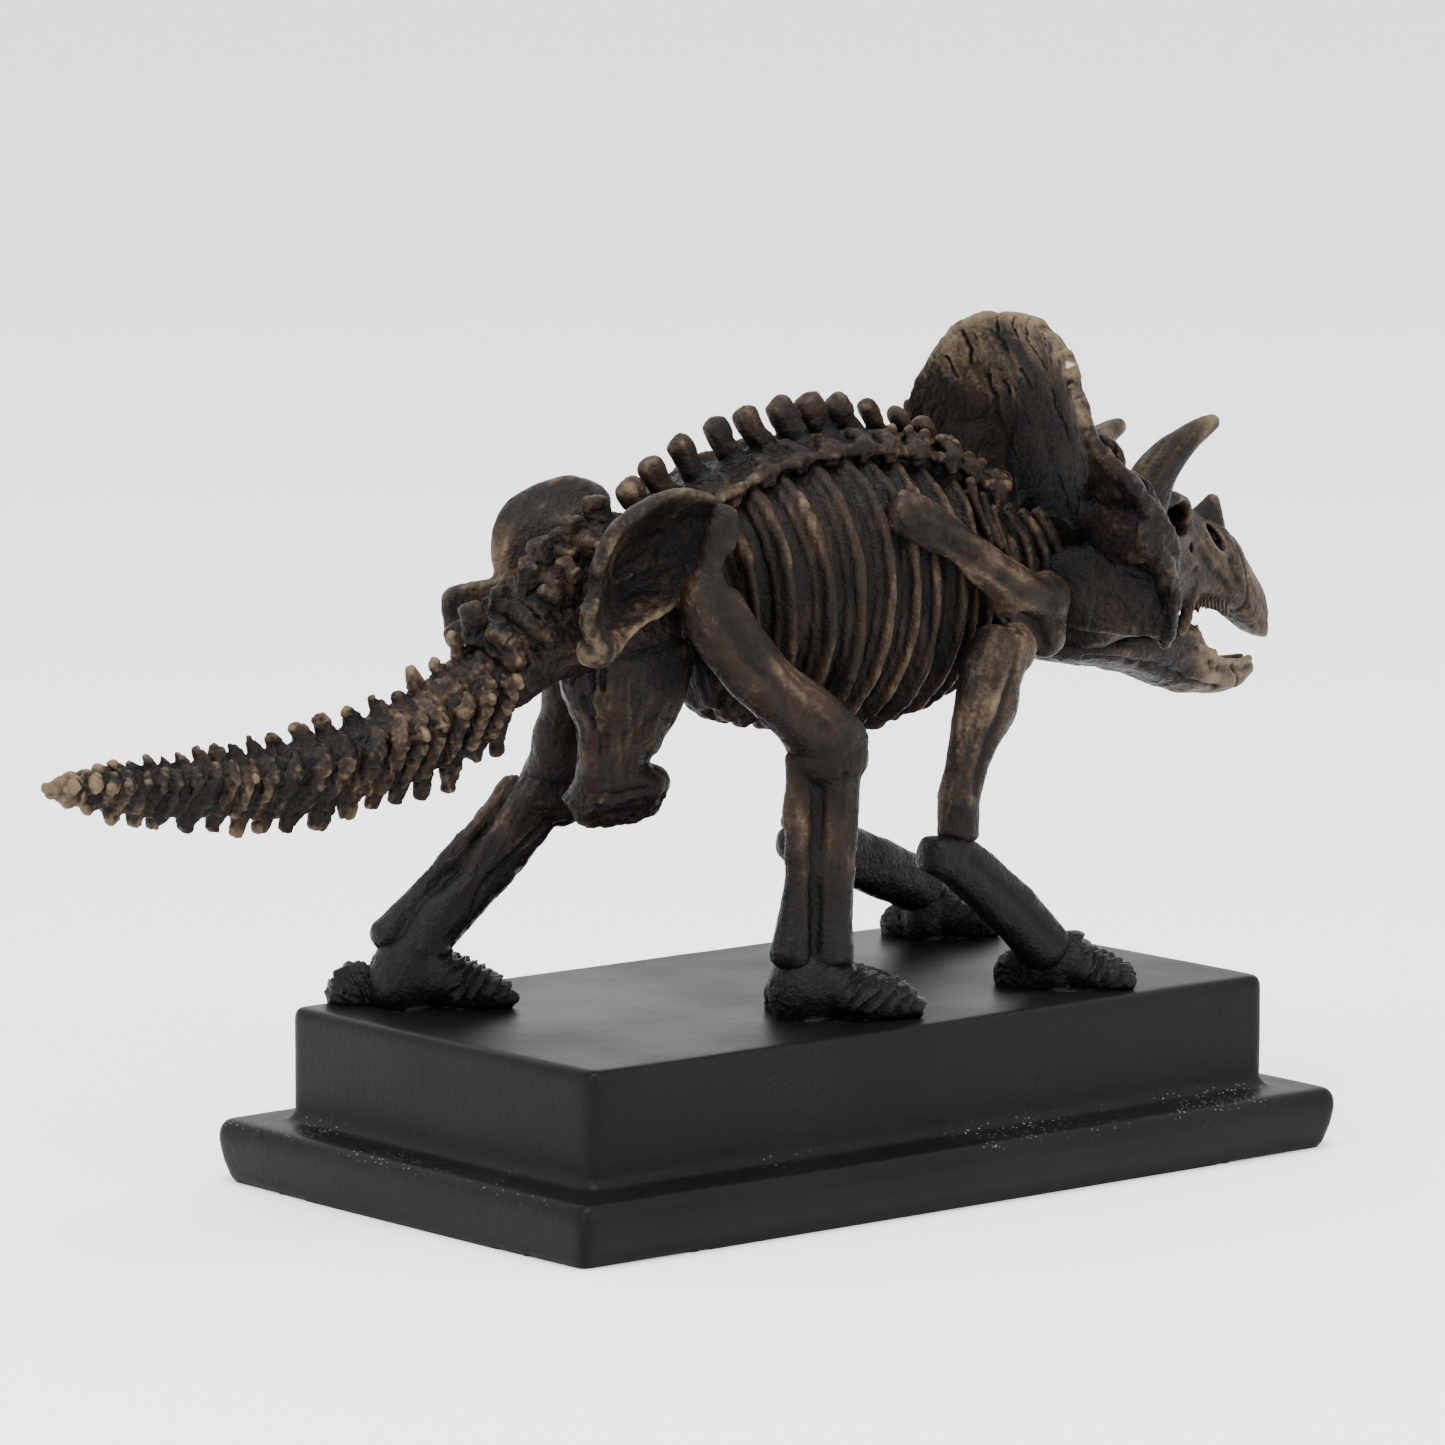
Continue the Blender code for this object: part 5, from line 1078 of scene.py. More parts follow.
def make_legs():
    for side, word in SIDES.items():
        blade = on_side(SHOULDER_BLADE, side)
        clay = Clay()
        clay.rod(blade, sides=28, steps=6)
        clay.ball((11.6, side * 18.4, 108.8), (3.6, 2.2, 3.2), sides=20)
        clay.ball((42.2, side * 17.2, 92.6), (4.4, 3.6, 4.2), sides=24)
        clay.ball((41.8, side * 17.4, 86.4), (3.6, 3.0, 4.0), sides=24)
        clay.ball((34.6, side * 18.8, 92.4), (3.4, 2.8, 3.2), sides=24)
        clay.rod(((43.4, side * 16.8, 92.0, 2.8, 2.6), (43.8, side * 16.8, 88.8, 2.6, 2.6), (42.4, side * 17.0, 85.6, 2.4, 2.6)), sides=20)
        ridge = ((12.0, side * 20.2, 108.6, 0.9, 1.0), (22.0, side * 21.4, 103.8, 0.8, 1.0), (32.0, side * 21.0, 97.4, 0.9, 1.1), (40.0, side * 19.8, 93.6, 1.0, 1.4))
        clay.rod(ridge, sides=12)

        def socket(points, side=side):
            under = furrow(points, ((34.0, side * 20.4, 90.2), (38.4, side * 20.2, 88.4), (39.0, side * 20.0, 84.8)), 1.5, 1.5)
            return under + furrow(points, ((16.0, side * 21.0, 104.4), (26.0, side * 22.0, 98.6), (33.0, side * 21.4, 94.2)), 0.9, 0.6)
        cast_bone(f"shoulder_blade_{word}", clay, along=leg_direction(blade), soft=4, seed=131 + side, extra=socket, dent=0.3, streak=0.05)

        rows = HUMERUS[side]
        clay = Clay()
        clay.rod(rows, sides=28, steps=6)
        clay.ball((rows[0][0] + 1.6, rows[0][1], rows[0][2] - 1.4), (4.2, 4.2, 4.6), sides=24)
        clay.ball((rows[2][0] + 3.4, rows[2][1] - side * 0.4, rows[2][2] + 1.4), (2.8, 2.6, 5.2), sides=20)
        clay.ball((rows[1][0] - 2.6, rows[1][1] + side * 0.6, rows[1][2] - 1.0), (2.4, 2.4, 4.2), sides=20)

        def channel(points, side=side, rows=rows):
            path = [(r[0] + 0.2, r[1] + side * (r[3] + 0.4), r[2]) for r in rows[1:5]]
            return furrow(points, path, 1.2, 0.9)
        cast_bone(f"humerus_{word}", clay, along=leg_direction(rows), soft=4, seed=135 + side, extra=channel, dent=0.32, streak=0.07)

        rows = np.array(FOREARM[side])
        clay = Clay()
        clay.rod(rows, sides=28, steps=6, square=0.72, cap=0.6)
        second = rows[:, :5] + [0.4, side * 1.6, -0.9, 0.0, 0.0]
        second[:, 3:] *= [0.55, 0.8]
        clay.rod(second, sides=20, steps=6)

        def split(points, side=side, rows=rows):
            path = [(r[0] - 0.6, r[1] + side * (r[3] + 0.3), r[2] + 0.9) for r in rows[1:]]
            return furrow(points, path, 0.8, 0.6)
        cast_bone(f"forearm_{word}", clay, along=leg_direction(rows), soft=4, seed=139 + side, extra=split, dent=0.22, streak=0.05, pit=0.04)

        rows = np.array(FEMUR[side])
        rows[2, 3:] = (2.0, 2.3)
        clay = Clay()
        clay.rod(rows, sides=28, steps=6)
        clay.ball((-26.6, side * 16.4, 108.4), (2.7, 2.5, 4.5), sides=20)
        knee = rows[-1]
        clay.ball((knee[0] + 1.4, knee[1] - 2.4 * side, knee[2]), (5.4, 3.8, 5.6), sides=24)
        clay.ball((knee[0] + 0.4, knee[1] + 2.2 * side, knee[2] + 0.2), (5.8, 3.8, 5.8), sides=24)
        shaft = [(r[0] + 1.4, r[1] + side * 1.2, r[2] + 1.6, 1.5, 1.6) for r in rows[3:]]
        clay.rod(shaft, sides=16, steps=5)

        def worn(points, side=side, rows=rows):
            path = [(r[0] - 1.4, r[1] + side * (r[3] + 0.2), r[2] - 0.8) for r in rows[3:7]]
            return furrow(points, path, 1.5, 0.7)
        cast_bone(f"femur_{word}", clay, along=leg_direction(rows[3:]), soft=5, seed=143 + side, extra=worn, dent=0.3, streak=0.05)

        rows = TIBIA[side]
        outer = FIBULA[side]
        clay = Clay()
        clay.rod(rows, sides=28, steps=6)
        clay.rod([(*r[:3], r[3] + 0.2 + (0.9 if r is outer[-1] else 0), r[4] + 0.3 + (0.9 if r is outer[-1] else 0)) for r in outer], sides=20, steps=6, cap=0.7)
        clay.ball((rows[0][0] - 0.6, rows[0][1], rows[0][2] - 3.0), (6.8, 5.8, 5.6), sides=24)
        clay.ball((rows[-1][0] + 0.6, rows[-1][1] - side * 0.4, rows[-1][2] + 0.8), (4.6, 4.8, 3.2), sides=24)

        def carved(points, side=side):
            if side == RIGHT:
                bent = points + 0.5 * noise(points / 6.0, 155)[:, None]
                between = furrow(bent, ((-13.8, -25.6, 66.0), (-14.2, -25.2, 55.0), (-14.6, -25.2, 37.0)), 1.0, 0.8)
                return between + furrow(points, ((-11.0, -28.4, 69.0), (-11.4, -27.6, 55.0), (-12.2, -27.6, 43.0)), 0.5, 0.6)
            layers = np.floor(2.2 * layered(stretched(points, (-0.7, 0.1, -0.7), 3.4, 1.3) * 1.6, 2.4, 2, 147)) / 2.2
            crease = furrow(points, ((-33.0, 18.4, 60.0), (-40.0, 20.6, 53.4), (-46.0, 21.8, 48.4), (-47.6, 22.6, 43.6)), 0.45, 0.7)
            return 0.45 * layers * smoothstep(44.0, 50.0, points[:, 2]) + crease
        cast_bone(f"shin_{word}", clay, along=leg_direction(rows), voxel=0.33, soft=3, seed=151 + side, extra=carved, dent=0.22, streak=0.07)


def foot_clay(measure, heel_height, lobe_size):
    heel_x, heel_y, heading, length, width, lobe_x, lobe_y = measure
    turn = math.radians(heading)
    forward = np.array([math.cos(turn), math.sin(turn), 0.0])
    across = np.array([-math.sin(turn), math.cos(turn), 0.0])
    heel = np.array([heel_x, heel_y, BLOCK_TOP + heel_height * 0.4])
    clay = Clay()
    clay.ball(heel, (width * 0.27, width * 0.29, heel_height * 0.66), sides=28)
    clay.ball(heel + forward * 3.0 + [0, 0, heel_height * 0.12], (width * 0.24, width * 0.3, heel_height * 0.52), sides=28)
    lobe = np.array([lobe_x, lobe_y, BLOCK_TOP + 0.3 * lobe_size])
    clay.ball(lobe, (1.15 * lobe_size, 1.05 * lobe_size, 1.15 * lobe_size), sides=24)
    thick = 0.8 * lobe_size
    clay.rod(((*lobe, thick, thick), (heel_x, heel_y, lobe[2], 2.4, 2.4)), across=tuple(forward))
    for share, reach, size in ((-1.0, 0.86, 1.0), (-0.05, 1.02, 1.06), (0.92, 0.9, 1.0)):
        spread = across * share * width * 0.4
        start = heel + across * share * width * 0.1
        middle = heel + forward * reach * length * 0.45 + spread * 0.78
        nail = heel + forward * reach * length * 0.9 + spread
        end = heel + forward * reach * length + spread
        thick = width * 0.15 * size
        rows = (
            (start[0], start[1], BLOCK_TOP + heel_height * 0.52, thick * 0.9, heel_height * 0.34),
            (middle[0], middle[1], BLOCK_TOP + heel_height * 0.38, thick * 0.98, heel_height * 0.36),
            (nail[0], nail[1], BLOCK_TOP + heel_height * 0.18, thick * 0.9, heel_height * 0.24),
            (end[0], end[1], BLOCK_TOP + heel_height * 0.06, thick * 0.62, heel_height * 0.14),
        )
        clay.rod(rows, sides=20, steps=6, across=tuple(across))
    # The puddle of resin that the foot stands in.
    clay.rod(
        ((*(heel - forward * width * 0.1)[:2], BLOCK_TOP - 0.3, width * 0.3, 0.7), (*(heel + forward * length * 0.8)[:2], BLOCK_TOP - 0.3, width * 0.46, 0.7)),
        sides=32, steps=5, across=tuple(across), cap=1.0,
    )
    return clay, heel, forward


def make_feet():
    for side, word in SIDES.items():
        for node, measure, high, lobe, seed in (
            (f"hind_foot_{word}", HIND_FOOT[side], 11.0, 4.4, 161),
            (f"fore_foot_{word}", FORE_FOOT[side], 9.0, 3.8, 165),
        ):
            clay, heel, forward = foot_clay(measure, high, lobe)

            def wrinkles(points, heel=heel, forward=forward, measure=measure, seed=seed):
                flat = points[:, :2] - heel[:2]
                far = np.linalg.norm(flat * [1.0, 0.8], axis=1)
                ahead = flat @ forward[:2]
                high_up = smoothstep(BLOCK_TOP + 0.5, BLOCK_TOP + 1.5, points[:, 2])
                on_toes = smoothstep(2.0, 4.5, ahead) * high_up
                on_lobe = smoothstep(6.4, 4.8, np.linalg.norm(points[:, :2] - [measure[5], measure[6]], axis=1)) * high_up
                bend = 1.1 * noise(points / 3.4, seed) + 0.3 * noise(points / 1.1, seed + 1)
                phase = (far - 0.5 * (points[:, 2] - BLOCK_TOP) + bend) / 1.95
                folds = (phase - np.floor(phase)) ** 1.6 - 0.5
                turned = (points[:, 2] * 0.5 + (points[:, 0] - measure[5]) * 0.9 + bend) / 1.5
                lobe_folds = (turned - np.floor(turned)) ** 1.6 - 0.5
                both = 1.15 * on_toes * folds + 0.95 * on_lobe * lobe_folds * (1 - on_toes)
                return both
            piece = cast_bone(
                node, clay, along=(1.0, 0.0, 0.0), voxel=0.3, soft=3, seed=seed + side,
                extra=wrinkles, dent=0.24, streak=0.05, pit=0.05,
            )
            mesh = piece.data
            points = points_of(mesh)
            points[:, 2] = np.maximum(points[:, 2], BLOCK_TOP - 0.6)
            set_points(mesh, points)


# Plinth.

def plinth_ring(z, length, width, corner=1.6, bow=0.6):
    half_x, half_y = length / 2, width / 2
    points = []
    for number in range(4):
        sign_x = 1 if number in (0, 3) else -1
        sign_y = 1 if number in (0, 1) else -1
        for step in range(7):
            angle = math.radians(90 * number + 15 * step)
            points.append((
                sign_x * (half_x - corner) + corner * math.cos(angle),
                sign_y * (half_y - corner) + corner * math.sin(angle), z,
            ))
        for share in np.linspace(0.92, -0.92, 24):
            lift = bow * (1 - share * share)
            if number in (0, 2):
                points.append((sign_x * half_x * share, sign_y * (half_y + lift), z))
            else:
                points.append((sign_x * (half_x + lift), sign_y * half_y * share, z))
    return points


PLINTH_PROFILE = (
    (0.0, 157.8, 91.6), (0.8, 159.2, 93.2), (4.0, 160.4, 95.6), (7.4, 161.2, 97.0), (9.2, 160.6, 96.4),
    (10.1, 159.4, 95.2), (10.4, 157.6, 93.4), (10.4, 146.2, 81.3), (10.9, 144.4, 79.5),
    (12.0, 143.6, 78.7), (27.8, 143.6, 78.7), (28.8, 142.9, 78.0), (29.1, 141.6, 76.7),
)


def make_plinth():
    clay = Clay()
    clay.loft([plinth_ring(*row) for row in PLINTH_PROFILE])
    piece = fused(clay, "plinth_cast", 0.72)
    soften(piece, 2)
    points = points_of(piece.data)
    height = 0.10 * layered(points, 26.0, 2, 201) + 0.02 * layered(points, 5.0, 2, 203)
    height *= smoothstep(0.2, 2.0, points[:, 2])
    carve(piece, height)
    points = points_of(piece.data)
    low = points[:, 2] < 0.35
    points[low, 2] = 0.01
    set_points(piece.data, points)
    place(piece, ["plinth"])


# Paint.

GRID = 1.0
MARGIN = 10.0


def solid_share(pieces):
    """A grid of how much solid lies round each place, from every face's area and direction."""
    low = np.array(CAD_BOX[0]) / MM - MARGIN
    high = np.array(CAD_BOX[1]) / MM + MARGIN
    size = (np.ceil((high - low) / GRID / 8) * 8).astype(int)
    flux = np.zeros((3, *size))
    for piece in pieces:
        mesh = piece.data
        count = len(mesh.polygons)
        centre = np.empty(count * 3, np.float32)
        normal = np.empty(count * 3, np.float32)
        area = np.empty(count, np.float32)
        mesh.polygons.foreach_get("center", centre)
        mesh.polygons.foreach_get("normal", normal)
        mesh.polygons.foreach_get("area", area)
        cell = np.round((centre.reshape(-1, 3) / MM - low) / GRID).astype(int)
        cell = np.clip(cell, 0, size - 1)
        flat = np.ravel_multi_index(cell.T, size)
        for axis in range(3):
            weight = normal.reshape(-1, 3)[:, axis] * area / MM ** 2 / GRID ** 3
            flux[axis] += np.bincount(flat, weight, int(np.prod(size))).reshape(size)
    waves = [2 * np.pi * np.fft.fftfreq(n, GRID) for n in size[:2]] + [2 * np.pi * np.fft.rfftfreq(size[2], GRID)]
    kx, ky, kz = np.meshgrid(*waves, indexing="ij")
    square = kx ** 2 + ky ** 2 + kz ** 2
    square[0, 0, 0] = 1.0
    total = sum(1j * k * np.fft.rfftn(flux[axis]) for axis, k in enumerate((kx, ky, kz))) / square
    total[0, 0, 0] = 0.0
    return total, square, low, size


def blurred(total, square, size, reach):
    grid = np.fft.irfftn(total * np.exp(-0.5 * reach ** 2 * square), s=tuple(size))
    return grid - grid[:3, :3, -3:].mean()


def sampled(grid, low, points):
    place_in = np.clip((points - low) / GRID, 0, np.array(grid.shape) - 1.001)
    cell = place_in.astype(int)
    part = place_in - cell
    total = np.zeros(len(points))
    for x in (0, 1):
        for y in (0, 1):
            for z in (0, 1):
                weight = np.ones(len(points))
                for axis, corner in enumerate((x, y, z)):
                    weight *= part[:, axis] if corner else 1 - part[:, axis]
                total += weight * grid[cell[:, 0] + x, cell[:, 1] + y, cell[:, 2] + z]
    return total


def read_surface(pieces):
    """Give every point its hollow, its ridge and its shade, for the paint to follow."""
    total, square, low, size = solid_share(pieces)
    near = blurred(total, square, size, 1.3)
    wide = blurred(total, square, size, 4.0)
    for piece in pieces:
        mesh = piece.data
        points, normals, edges = points_of(mesh), normals_of(mesh), edges_of(mesh)
        fine = ((relaxed(points, edges, 5) - points) * normals).sum(axis=1)
        broad = ((relaxed(points, edges, 22) - points) * normals).sum(axis=1)
        add_field(mesh, "crease", relaxed(fine / 0.06 + broad / 0.30, edges, 1))
        # shade and depth say how closely solid surrounds each point, at about 1 mm and about 4 mm; the paint darkens
        # with them as painted shade.
        add_field(mesh, "shade", sampled(near, low, points + normals * 0.8) - 0.3)
        add_field(mesh, "depth", sampled(wide, low, points + normals * 2.0) - 0.3)


def linear(hex_colour):
    """An sRGB hex colour as linear red, green, blue and alpha."""
    channels = [int(hex_colour[i:i + 2], 16) / 255 for i in (1, 3, 5)]
    return (*[c / 12.92 if c <= 0.04045 else ((c + 0.055) / 1.055) ** 2.4 for c in channels], 1.0)


def add(tree, kind, settings=(), **links):
    """Add a shader node, set its properties, and join or fill its inputs by name."""
    made = tree.nodes.new(kind)
    for name, value in dict(settings).items():
        setattr(made, name, value)
    for name, value in links.items():
        socket = made.inputs[int(name[1:])] if name[0] == "i" and name[1:].isdigit() else made.inputs[name.replace("_", " ")]
        if isinstance(value, bpy.types.NodeSocket):
            tree.links.new(value, socket)
        else:
            socket.default_value = value
    return made


def new_material(name):
    made = bpy.data.materials.new(name)
    made.use_nodes = True
    tree = made.node_tree
    tree.nodes.clear()
    return made, tree


def field(tree, name):
    return add(tree, "ShaderNodeAttribute", {"attribute_name": name}).outputs["Fac"]


def ranged(tree, value, low, high, to_low=0.0, to_high=1.0):
    made = add(tree, "ShaderNodeMapRange", {"interpolation_type": "SMOOTHSTEP"}, i0=value, i1=low, i2=high, i3=to_low, i4=to_high)
    return made.outputs["Result"]


def maths(tree, operation, first, second=0.0):
    return add(tree, "ShaderNodeMath", {"operation": operation}, i0=first, i1=second).outputs[0]


def mixed(tree, share, first, second, blend="MIX"):
    made = add(tree, "ShaderNodeMix", {"data_type": "RGBA", "blend_type": blend}, i0=share, i6=first, i7=second)
    return made.outputs[2]


def painted_resin():
    """Cast polyester resin, brush painted: a near-black undercoat left in the hollows, brown over
    it, and tan dragged dry over the ridges. Gives a dull, dark bone with worn, dusty edges."""
    colours = bpy.context.scene.statue_colours
    made, tree = new_material("dry_brushed_cast_resin")
    spot = add(tree, "ShaderNodeTexCoord").outputs["Object"]
    # Patches of about 12 mm, mottling of about 3 mm, and brush grain of about 0.6 mm.
    patch = add(tree, "ShaderNodeTexNoise", i0=spot, Scale=85.0, Detail=3.0).outputs["Fac"]
    mottle = add(tree, "ShaderNodeTexNoise", i0=spot, Scale=330.0, Detail=4.0).outputs["Fac"]
    grain = add(tree, "ShaderNodeTexNoise", i0=spot, Scale=1500.0, Detail=3.0).outputs["Fac"]
    crease, shade, depth, fibre = (field(tree, n) for n in ("crease", "shade", "depth", "fibre"))
    black, gilt, bare = field(tree, "black"), field(tree, "gilt"), field(tree, "bare")

    tone = maths(tree, "ADD", patch, maths(tree, "MULTIPLY", mottle, 0.5))
    # The brown is made a little darker in creases: painted shade.
    tone = maths(tree, "ADD", tone, maths(tree, "MULTIPLY", crease, -0.05))
    tone = ranged(tree, tone, 0.6, 0.95)
    brown = mixed(tree, tone, tuple(colours.dark_brown), tuple(colours.brown))
    red = ranged(tree, maths(tree, "SUBTRACT", patch, maths(tree, "MULTIPLY", mottle, 0.3)), 0.34, 0.5)
    brown = mixed(tree, maths(tree, "MULTIPLY", red, 0.6), brown, tuple(colours.red_brown))

    proud = maths(tree, "MULTIPLY", crease, -0.15)
    proud = maths(tree, "ADD", proud, maths(tree, "MULTIPLY", maths(tree, "SUBTRACT", grain, 0.5), 0.9))
    proud = maths(tree, "ADD", proud, maths(tree, "MULTIPLY", fibre, 0.22))
    proud = maths(tree, "ADD", proud, maths(tree, "MULTIPLY", shade, -1.2))
    proud = maths(tree, "ADD", proud, maths(tree, "MULTIPLY", maths(tree, "SUBTRACT", patch, 0.5), 2.2))
    # gilt adds tan; on the shield it also adds painted light towards the top.
    proud = maths(tree, "ADD", proud, maths(tree, "MULTIPLY", gilt, 0.8))
    dry = ranged(tree, proud, 0.3, 1.5)
    tan = mixed(tree, mottle, tuple(colours.tan), tuple(colours.gold))
    painted = mixed(tree, maths(tree, "MULTIPLY", dry, 0.75), brown, tan)

    # The wash is the near-black undercoat left in the hollows and also painted shade: it darkens with crease and with
    # how enclosed each point is (shade, depth), between the ribs, in the hip bowls and under overhangs.
    hollow = maths(tree, "ADD", maths(tree, "MULTIPLY", crease, 0.35), maths(tree, "MULTIPLY", shade, 1.2))
    hollow = maths(tree, "ADD", hollow, maths(tree, "MULTIPLY", depth, 2.3))
    hollow = maths(tree, "ADD", hollow, maths(tree, "MULTIPLY", fibre, -0.16))
    hollow = maths(tree, "ADD", hollow, maths(tree, "MULTIPLY", maths(tree, "SUBTRACT", mottle, 0.5), 1.2))
    wash_and_painted_shade = ranged(tree, hollow, -0.1, 0.6)
    painted = mixed(tree, maths(tree, "MULTIPLY", wash_and_painted_shade, 0.95), painted, tuple(colours.wash_and_painted_shade))
    # The black mask lays the black paint of the feet and lower legs, and painted shade on the shield's lower part and
    # the pubis.
    painted = mixed(tree, black, painted, tuple(colours.black))
    painted = mixed(tree, bare, painted, tuple(colours.bare))

    # The black is a satin spray, so the feet shine a little more than the brushed bone.
    rough = maths(tree, "ADD", ranged(tree, grain, 0.3, 0.7, 0.36, 0.58), maths(tree, "MULTIPLY", black, -0.1))
    shader = add(tree, "ShaderNodeBsdfPrincipled", Base_Color=painted, Roughness=rough, Specular_IOR_Level=0.09, IOR=1.5, Metallic=0.0)
    fine = add(tree, "ShaderNodeTexNoise", i0=spot, Scale=2600.0, Detail=3.0).outputs["Fac"]
    height = maths(tree, "ADD", maths(tree, "MULTIPLY", grain, 0.7), maths(tree, "MULTIPLY", fine, 0.4))
    height = maths(tree, "ADD", height, maths(tree, "MULTIPLY", mottle, 0.8))
    bump = add(tree, "ShaderNodeBump", Strength=0.8, Distance=0.0005, Height=height)
    tree.links.new(bump.outputs["Normal"], shader.inputs["Normal"])
    out = add(tree, "ShaderNodeOutputMaterial")
    tree.links.new(shader.outputs[0], out.inputs["Surface"])
    return made


def satin_black():
    """Cast resin sprayed satin black: deep charcoal with a soft sheen, dust in the corners of the
    step and a few pale scuffs by its edges."""
    colours = bpy.context.scene.statue_colours
    made, tree = new_material("satin_black_sprayed_resin")
    spot = add(tree, "ShaderNodeTexCoord").outputs["Object"]
    cloud = add(tree, "ShaderNodeTexNoise", i0=spot, Scale=28.0, Detail=4.0).outputs["Fac"]
    grain = add(tree, "ShaderNodeTexNoise", i0=spot, Scale=900.0, Detail=3.0).outputs["Fac"]
    specks = add(tree, "ShaderNodeTexVoronoi", i0=spot, Scale=1050.0).outputs["Distance"]
    patchy = add(tree, "ShaderNodeTexNoise", i0=spot, Scale=46.0, Detail=2.0).outputs["Fac"]
    height_of = add(tree, "ShaderNodeSeparateXYZ", i0=spot).outputs["Z"]
    ledge = maths(tree, "MULTIPLY", ranged(tree, height_of, 0.0085, 0.0102), ranged(tree, height_of, 0.0125, 0.0108))
    dust = maths(tree, "MULTIPLY", ranged(tree, specks, 0.26, 0.1), ranged(tree, patchy, 0.48, 0.66))
    dust = maths(tree, "MULTIPLY", dust, maths(tree, "ADD", maths(tree, "MULTIPLY", ledge, 0.8), 0.04))
    base = mixed(tree, ranged(tree, cloud, 0.35, 0.65), tuple(colours.plinth_black), tuple(colours.plinth_grey))
    base = mixed(tree, dust, base, tuple(colours.dust))
    rough = ranged(tree, cloud, 0.3, 0.7, 0.36, 0.46)
    shader = add(tree, "ShaderNodeBsdfPrincipled", Base_Color=base, Roughness=rough, IOR=1.5, Metallic=0.0)
    shader.inputs["Specular IOR Level"].default_value = 0.07
    bump = add(tree, "ShaderNodeBump", Strength=0.25, Distance=0.0002, Height=maths(tree, "ADD", grain, dust))
    tree.links.new(bump.outputs["Normal"], shader.inputs["Normal"])
    out = add(tree, "ShaderNodeOutputMaterial")
    tree.links.new(shader.outputs[0], out.inputs["Surface"])
    return made


def black_paint_and_painted_shade_mask(name, points):
    """Where the airbrushed black of the feet covers the bone: all of the feet and forearms, and
    the shins up to about half their height."""
    if "foot" in name or "forearm" in name:
        return np.full(len(points), 0.94)
    if "shin" in name:
        wobble = 2.0 * noise(points / 6.0, 301)
        return 0.94 * smoothstep(58.0, 44.0, points[:, 2] + wobble)
    # Painted shade: the shield is darkened towards its bottom, round the cheeks.
    if name.startswith("frill"):
        return 0.5 * smoothstep(118.0, 108.0, points[:, 2] + 2.0 * noise(points / 6.0, 302))
    # Painted shade: the whole pubis is darkened, with some noise.
    if name.startswith("pubis"):
        return 0.3 + 0.2 * noise(points / 6.0, 304)
    return np.zeros(len(points))


def gilt_and_painted_light_mask(name, points):
    """Where the tan lies thickest: the shield's crown, the beak and jaw, and the tail's tip."""
    # Partly tan paint on the crown and partly painted light: the shield grows paler towards its top, where light from
    # above falls.
    if name.startswith("frill"):
        return smoothstep(118.0, 132.0, points[:, 2] + 3.0 * noise(points / 5.0, 303))
    if name.startswith("skull"):
        return 0.65 * smoothstep(86.0, 100.0, points[:, 0])
    if name.startswith("lower_jaw"):
        return smoothstep(80.0, 94.0, points[:, 0])
    if name.startswith("tail_3"):
        return 0.8 * smoothstep(-120.0, -142.0, points[:, 0])
    if name.startswith("tail"):
        return np.full(len(points), 0.12)
    if name.startswith(("nose_horn", "brow_horn", "humerus")):
        return np.full(len(points), 0.35)
    if name.startswith("ilium"):
        return np.full(len(points), 0.4)
    if name.startswith(("sacrum", "backbone", "rib_cage")):
        return np.full(len(points), -0.2)
    return np.full(len(points), 0.1)


def bare_mask(name, points):
    """Where the paint has chipped off an edge and the pale resin shows."""
    bare = np.zeros(len(points))
    if name.startswith("frill"):
        for y, z, size in FRILL_CHIPS:
            far = np.hypot(points[:, 1] - y, points[:, 2] - z) + 0.5 * noise(points / 0.7, 305)
            bare = np.maximum(bare, smoothstep(size, 0.6 * size, far))
    return 0.55 * bare


def paint_all():
    pieces = [o for o in bpy.context.scene.objects if o.name.endswith("_cast")]
    counts = sorted(((sum(len(f.vertices) - 2 for f in o.data.polygons), o.name) for o in pieces), reverse=True)
    print("TRIANGLES", sum(c for c, _ in counts), counts[:8])
    read_surface(pieces)
    bone, black = painted_resin(), satin_black()
    for piece in pieces:
        points = points_of(piece.data)
        # black holds the black paint of the feet and legs, and painted shade on the shield's lower part and the pubis;
        # gilt holds the tan, and painted light on the shield's upper part.
        add_field(piece.data, "black", black_paint_and_painted_shade_mask(piece.name, points))
        add_field(piece.data, "gilt", gilt_and_painted_light_mask(piece.name, points))
        add_field(piece.data, "bare", bare_mask(piece.name, points))
        piece.data.materials.clear()
        piece.data.materials.append(black if piece.name.startswith("plinth") else bone)


# Stage.

def area_light(name, place_at, aim, size, power, colour):
    data = bpy.data.lights.new(name, "AREA")
    data.shape = "DISK"
    data.size = size
    data.energy = power
    data.color = linear(colour)[:3]
    light = bpy.data.objects.new(name, data)
    light.location = place_at
    light.visible_camera = False
    light.rotation_euler = (Vector(aim) - Vector(place_at)).to_track_quat("-Z", "Y").to_euler()
    bpy.context.scene.collection.objects.link(light)


